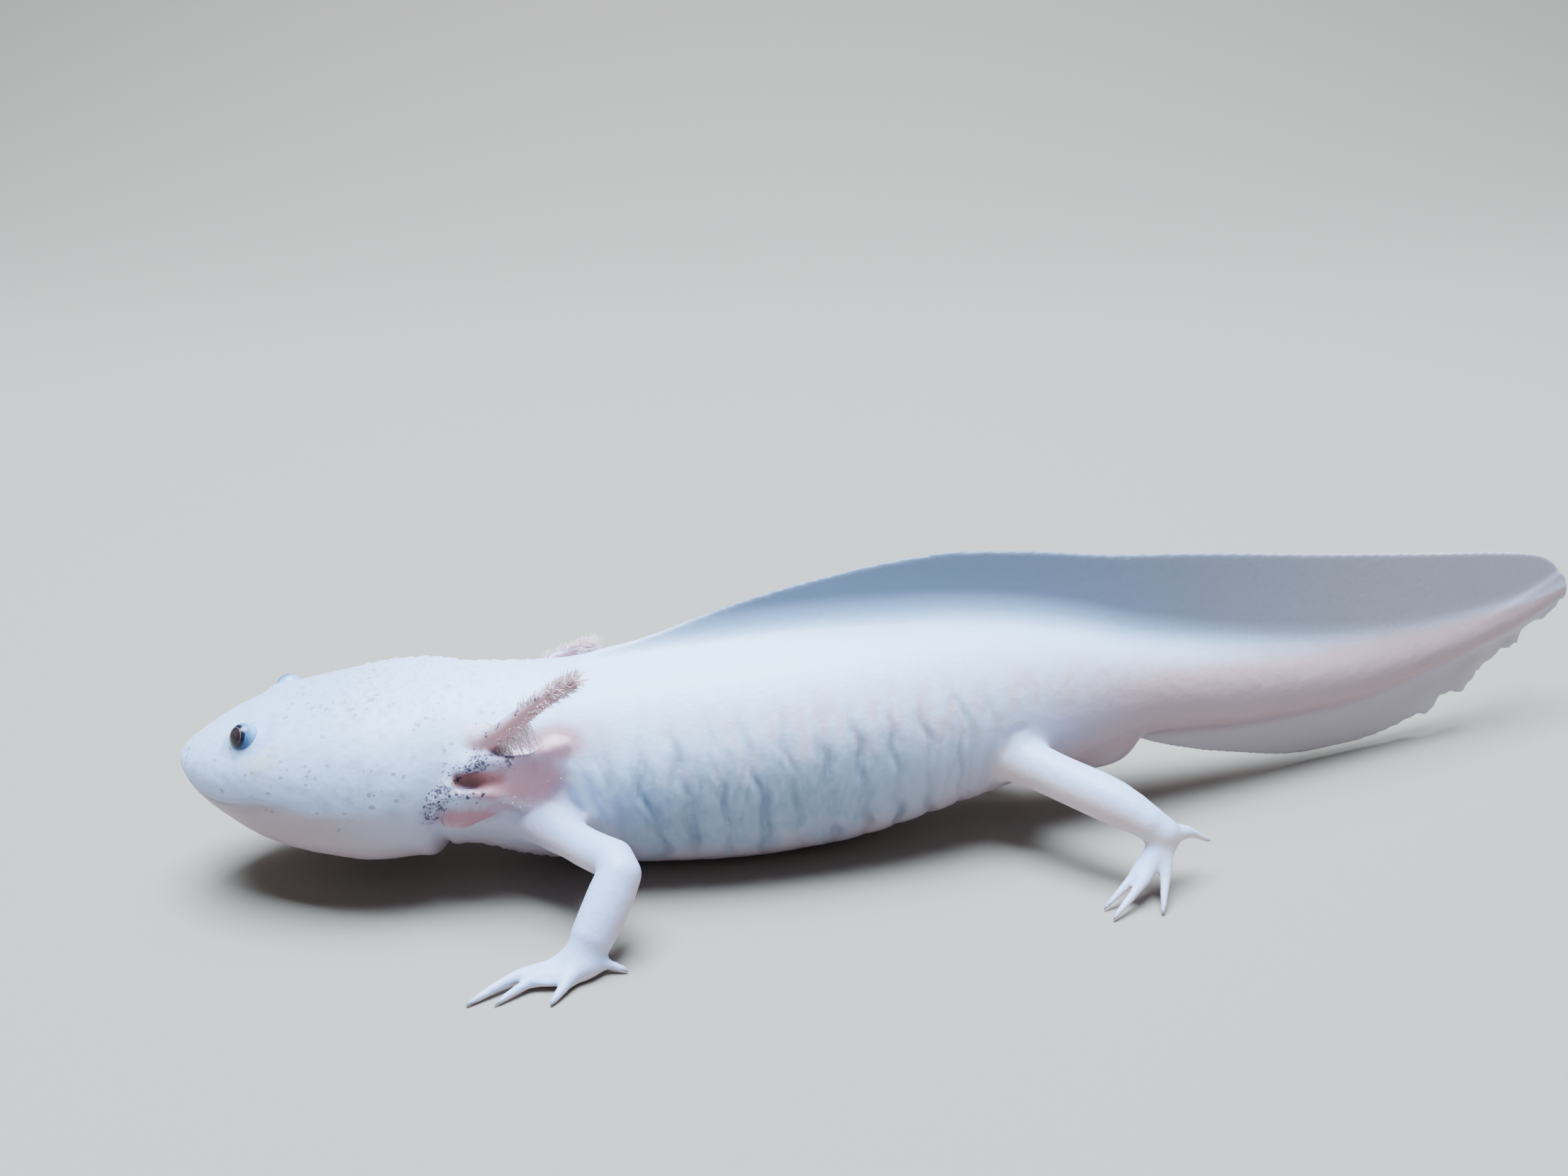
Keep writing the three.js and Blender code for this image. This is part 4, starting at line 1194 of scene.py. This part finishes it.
def make_filament_nodes():
    tree = bpy.data.node_groups.new("grow filaments", "GeometryNodeTree")
    tree.is_modifier = True
    for name, kind in (("Roots", "Geometry"), ("Thickness", "Float"), ("Bend", "Float"), ("Seed", "Int"),
                       ("Material", "Material")):
        tree.interface.new_socket(name, in_out="INPUT", socket_type=f"NodeSocket{kind}")
    tree.interface.new_socket("Filaments", in_out="OUTPUT", socket_type="NodeSocketGeometry")

    def put(kind, feeds=(), output=0, **settings):
        """Adds a node, feeds its sockets with values or links, and gives back one output."""
        node = tree.nodes.new(kind)
        node.location = (len(tree.nodes) * 170, -(len(tree.nodes) % 4) * 170)
        for name, value in settings.items():
            setattr(node, name, value)
        for socket, value in dict(feeds).items():
            if isinstance(value, bpy.types.NodeSocket):
                tree.links.new(value, node.inputs[socket])
            else:
                node.inputs[socket].default_value = value
        return node.outputs[output] if node.outputs else node

    given = tree.nodes.new("NodeGroupInput").outputs

    # one thread, one metre tall, bent sideways and thinner towards its tip
    line = put("GeometryNodeCurvePrimitiveLine", {"End": (0, 0, 1)})
    rings = put("GeometryNodeResampleCurve", {"Curve": line, "Count": THREAD_RINGS})
    along = put("GeometryNodeSplineParameter", output="Factor")
    squared = put("ShaderNodeMath", {0: along, 1: along}, operation="MULTIPLY")
    sideways = put("ShaderNodeMath", {0: squared, 1: given["Bend"]}, operation="MULTIPLY")
    offset = put("ShaderNodeCombineXYZ", {0: sideways})
    bent = put("GeometryNodeSetPosition", {"Geometry": rings, "Offset": offset})
    keep = put("GeometryNodeStoreNamedAttribute", {"Name": "tip", "Geometry": bent, "Value": along},
               data_type="FLOAT", domain="POINT")
    taper = put("ShaderNodeMath", {0: squared, 1: -0.72, 2: 1.0}, operation="MULTIPLY_ADD")
    ring = put("GeometryNodeCurvePrimitiveCircle", {"Resolution": THREAD_SIDES, "Radius": given["Thickness"]})
    thread = put("GeometryNodeCurveToMesh",
                 {"Curve": keep, "Profile Curve": ring, "Scale": taper, "Fill Caps": True})

    # its place on every root
    lie = put("GeometryNodeInputNamedAttribute", {"Name": "lie"}, "Attribute", data_type="FLOAT_VECTOR")
    long = put("GeometryNodeInputNamedAttribute", {"Name": "long"}, "Attribute", data_type="FLOAT")
    aim = put("FunctionNodeAlignRotationToVector", {"Vector": lie}, axis="Z")
    spin = put("FunctionNodeRandomValue", {3: FULL_TURN, "Seed": given["Seed"]}, 1, data_type="FLOAT")
    twist = put("FunctionNodeAxisAngleToRotation", {"Axis": (0, 0, 1), "Angle": spin})
    turned = put("FunctionNodeRotateRotation", {"Rotation": aim, "Rotate By": twist}, rotation_space="LOCAL")
    size = put("ShaderNodeCombineXYZ", {0: 1, 1: 1, 2: long})
    grown = put("GeometryNodeInstanceOnPoints",
                {"Points": given["Roots"], "Instance": thread, "Rotation": turned, "Scale": size})
    real = put("GeometryNodeRealizeInstances", {0: grown})
    smooth = put("GeometryNodeSetShadeSmooth", {0: real})
    finish = put("GeometryNodeSetMaterial", {"Geometry": smooth, "Material": given["Material"]})
    put("NodeGroupOutput", {0: finish})
    return tree


filament_nodes = make_filament_nodes()
print("filament nodes:", len(filament_nodes.nodes))

# %% [markdown]
# ## Rows of roots
# On the animal the filaments stand in rows: a brush round the stalk's tip, two rows behind it, and a
# fringe that hangs from the upper stalk over the pale rim. A few short ones stand on the lower gills.
# A row says where it begins and ends on the stalk, which way round it faces and how long it grows.

# %% Rows
def lay_row(roots, right, ridge, rim, row):
    """Adds (place, direction, length, paleness) for one row of threads on one gill."""
    along = np.gradient(ridge, axis=0)
    along /= np.linalg.norm(along, axis=1)[:, None]
    hang = rim - ridge
    hang -= along * (hang * along).sum(1)[:, None]
    hang /= np.maximum(np.linalg.norm(hang, axis=1), 0.01)[:, None]
    out = np.cross(along, hang) * right
    goal = bent_path(PALE_RIM, right, 41)
    for k in range(row["count"]):
        share = row["first"] + (row["last"] - row["first"]) * (k + chance.uniform(0, 0.9)) / row["count"]
        i = min(int(share * (len(ridge) - 1)), len(ridge) - 1)
        turn = math.radians(chance.uniform(*row["around"]))
        ray = -hang[i] * math.cos(turn) + out[i] * math.sin(turn)
        down = chance.uniform(*row["down"])
        place = ridge[i] + (rim[i] - ridge[i]) * down + ray * row["off"]
        lie = ray * row["spread"] + along[i] * row["lean"] + chance.normal(0, row["stray"], 3)
        length = chance.uniform(*row["length"])
        if row.get("hangs_to_rim"):
            far = 0.25 + 0.55 * (k + chance.uniform(0, 8)) / row["count"]
            lie = goal[min(int(len(goal) * far), len(goal) - 1)] - place + chance.normal(0, 0.8, 3)
            length *= np.linalg.norm(lie)
        roots.append((place, lie / np.linalg.norm(lie), length, row["pale"]))


# around: 0 points away from the veil, 90 outwards, 180 down along the veil
ROWS = {
    "upper": [
        dict(count=110, first=0.62, last=0.97, around=(-75, 45), down=(0, 0), off=0.5, spread=1, lean=1.2,
             stray=0.2, length=(0.8, 2.0), pale=0.4),
        dict(count=330, first=0.82, last=1.0, around=(-180, 180), down=(0, 0), off=0.25, spread=0.6, lean=1.0,
             stray=0.2, length=(1.5, 2.5), pale=0.35),
        dict(count=300, first=0.42, last=0.96, around=(95, 215), down=(0, 0.3), off=0.45, spread=1, lean=1.2,
             stray=0.22, length=(0.8, 1.9), pale=0.7),
        dict(count=210, first=0.18, last=0.62, around=(150, 200), down=(0.2, 0.9), off=0.35, spread=1,
             lean=0.15, stray=0.1, length=(0.45, 1.0), pale=1.0, hangs_to_rim=True),
        dict(count=3, first=0.44, last=0.52, around=(-20, 20), down=(0, 0), off=0.6, spread=1, lean=-0.3,
             stray=0.1, length=(2.2, 3.0), pale=0.5),
    ],
    "middle": [
        dict(count=180, first=0.3, last=0.95, around=(140, 190), down=(0.6, 1), off=0.0, spread=1, lean=0.5,
             stray=0.25, length=(0.5, 1.2), pale=0.6),
    ],
    "lower": [
        dict(count=110, first=0.2, last=0.95, around=(140, 190), down=(0.7, 1), off=0.0, spread=1, lean=0.4,
             stray=0.25, length=(0.4, 0.9), pale=0.5),
    ],
}
roots = []
for gill_name, right, ridge, rim in gill_lines:
    for row in ROWS[gill_name]:
        lay_row(roots, right, ridge, rim, row)
print("roots:", len(roots))

# %% [markdown]
# ## The filaments as one piece
# The threads are rosy at the root and paler at the tip. Every thread gets a small patch of its own on
# a map, at its root's place on an unrolled skin, so that later colour can be carried onto it.

# %% Filaments
THREAD_SHADES = tint(216, 172, 182), tint(232, 196, 202)
PALE_THREAD, THREAD_TIP = tint(236, 226, 224), tint(244, 226, 232)
PATCH = 0.003           # side of one thread's patch on the map


def make_filament_material():
    material, shader, r = new_material("gill filament", 0.4, specular=0.3)
    tip = r.put("ShaderNodeAttribute", attribute_name="tip").outputs["Fac"]
    shade, pale, _, _ = r.parts("tone")
    colour = r.mix(shade, *THREAD_SHADES)
    colour = r.glaze(colour, PALE_THREAD, pale, 0.7)
    colour = r.glaze(colour, THREAD_TIP, r.between(tip, 0.2, 1.0))
    r.feed(shader.inputs["Base Color"], colour)
    return material


def map_threads(mesh, place):
    """A small patch for each thread, at its root's place on the unrolled skin."""
    station, side = unbend(place[:, 0], place[:, 1])
    middle = (top_height(station) + bottom_height(station)) / 2
    turn = np.arctan2(side, place[:, 2] - middle) / (2 * np.pi)
    root_uv = np.column_stack([station / TOTAL_LENGTH, 0.5 + turn])
    corner = np.empty(len(mesh.loops), np.int32)
    mesh.loops.foreach_get("vertex_index", corner)
    thread, within = np.divmod(corner, THREAD_SIDES * THREAD_RINGS)
    ring, around_ring = np.divmod(within, THREAD_SIDES)
    patch = np.column_stack([ring / THREAD_RINGS, around_ring / THREAD_SIDES]) * PATCH
    layer = mesh.uv_layers.new(name="OFBake")
    layer.data.foreach_set("uv", (root_uv[thread] * 0.99 + patch).astype(np.float32).ravel())


def make_filaments():
    place, lie, length, pale = (np.array(column, float) for column in zip(*roots))
    mesh = bpy.data.meshes.new("gill_filaments")
    mesh.from_pydata(((place + ZERO) * MM).tolist(), [], [])
    remember(mesh, "lie", *lie.T)
    mesh.attributes.new("long", "FLOAT", "POINT").data.foreach_set("value", (length * MM).astype(np.float32))
    remember(mesh, "tone", chance.uniform(0, 1, len(place)), pale)
    filaments = bpy.data.objects.new("gill_filaments", mesh)
    scene.collection.objects.link(filaments)
    grow = filaments.modifiers.new("grow", "NODES")
    grow.node_group = filament_nodes
    wanted = {"Thickness": 0.085 * MM, "Bend": 0.35 * MM, "Seed": 3, "Material": make_filament_material()}
    for item in filament_nodes.interface.items_tree:
        if item.in_out == "INPUT" and item.name in wanted:
            grow[item.identifier] = wanted[item.name]
    mesh = bake_modifiers(filaments)
    mesh.polygons.foreach_set("material_index", np.zeros(len(mesh.polygons), np.int32))
    mesh.materials.clear()
    mesh.materials.append(wanted["Material"])
    map_threads(mesh, place)
    mesh.calc_loop_triangles()
    print("filaments:", len(place), "threads,", len(mesh.vertices) / len(place), "points each,",
          len(mesh.loop_triangles), "triangles")
    return filaments


filaments = make_filaments()
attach(filaments, "root")

# %% [markdown]
# ## Floor
# The animal rests on a plain pale floor that sweeps up into a wall far behind it, as paper does in a
# studio, so that no horizon shows. It belongs to the stage and not to the animal.

# %% Floor
SWEEP_START, SWEEP_RADIUS, SWEEP_STEPS, FLOOR_REACH = 0.8, 2.2, 24, 6.0      # metres


def make_floor():
    profile = [(-FLOOR_REACH, 0.0), (SWEEP_START, 0.0)]
    for i in range(1, SWEEP_STEPS + 1):
        turn = math.radians(90 * i / SWEEP_STEPS)
        profile.append((SWEEP_START + SWEEP_RADIUS * math.sin(turn), SWEEP_RADIUS * (1 - math.cos(turn))))
    profile.append((SWEEP_START + SWEEP_RADIUS, FLOOR_REACH))
    points = [(x, y, z) for x in (-FLOOR_REACH, FLOOR_REACH) for y, z in profile]
    n = len(profile)
    faces = [(i, i + n, i + n + 1, i + 1) for i in range(n - 1)]
    mesh = bpy.data.meshes.new("floor")
    mesh.from_pydata(points, [], faces)
    mesh.polygons.foreach_set("use_smooth", np.ones(len(faces), bool))
    floor = bpy.data.objects.new("floor", mesh)
    scene.collection.objects.link(floor)
    material, shader, _ = new_material("floor", 0.7, specular=0.2)
    shader.inputs["Base Color"].default_value = tint(142, 136, 130)
    mesh.materials.append(material)
    print("floor:", len(faces), "faces")


make_floor()

# %% [markdown]
# ## Light
# A large cool lamp overhead stands for the light that falls through water: it whitens the back and
# leaves the underside soft. A second one lights the wall, and a weak warm one fills the near side.

# %% Light
def soft_light(name, place, aim, size, watts, colour):
    lamp = bpy.data.lights.new(name, "AREA")
    lamp.shape, lamp.size, lamp.energy, lamp.color = "SQUARE", size, watts, colour
    holder = bpy.data.objects.new(name, lamp)
    holder.location = place
    holder.rotation_euler = (Vector(aim) - Vector(place)).to_track_quat("-Z", "Y").to_euler()
    scene.collection.objects.link(holder)
    print(name, "lamp:", watts, "W")


soft_light("overhead", (-0.1, 0.05, 1.6), (0, 0, 0.02), 1.1, 170.0, (0.72, 0.87, 1.0))
soft_light("backdrop", (0.0, 1.0, 1.8), (0.0, 2.6, 0.6), 1.5, 55.0, (0.95, 0.97, 1.0))
soft_light("front fill", (0.25, -0.8, 0.5), (0, 0, 0.02), 0.6, 0.8, (1.0, 0.96, 0.93))
world = bpy.data.worlds.new("room")
world.use_nodes = True
sky = world.node_tree.nodes["Background"].inputs
sky["Color"].default_value, sky["Strength"].default_value = tint(205, 212, 222), 0.2
scene.world = world

# %% [markdown]
# ## Camera
# Beside the trunk, about 22 cm out and 11 cm up, looking slightly down, so that head, gills, both near
# legs and the whole tail are in view.

# %% Camera
CAMERA_PLACE = (92.7, -219.6, 114.3)        # mm, in the drawing
PITCH, ROLL = 18, 2                         # degrees
LENS, FILM = 35.80, 36
camera = bpy.data.objects.new("camera", bpy.data.cameras.new("camera"))
camera.data.lens, camera.data.sensor_width = LENS, FILM
camera.location = (np.array(CAMERA_PLACE) + ZERO) * MM
camera.rotation_mode = "QUATERNION"
level = Matrix.Rotation(math.radians(90 - PITCH), 4, "X").to_quaternion()
camera.rotation_quaternion = level @ Quaternion((0, 0, 1), math.radians(-ROLL))
camera.data.clip_start, camera.data.clip_end = 0.01, 20
scene.collection.objects.link(camera)
scene.camera = camera
print("camera at", [round(v, 3) for v in camera.location], "m, lens", LENS, "mm")
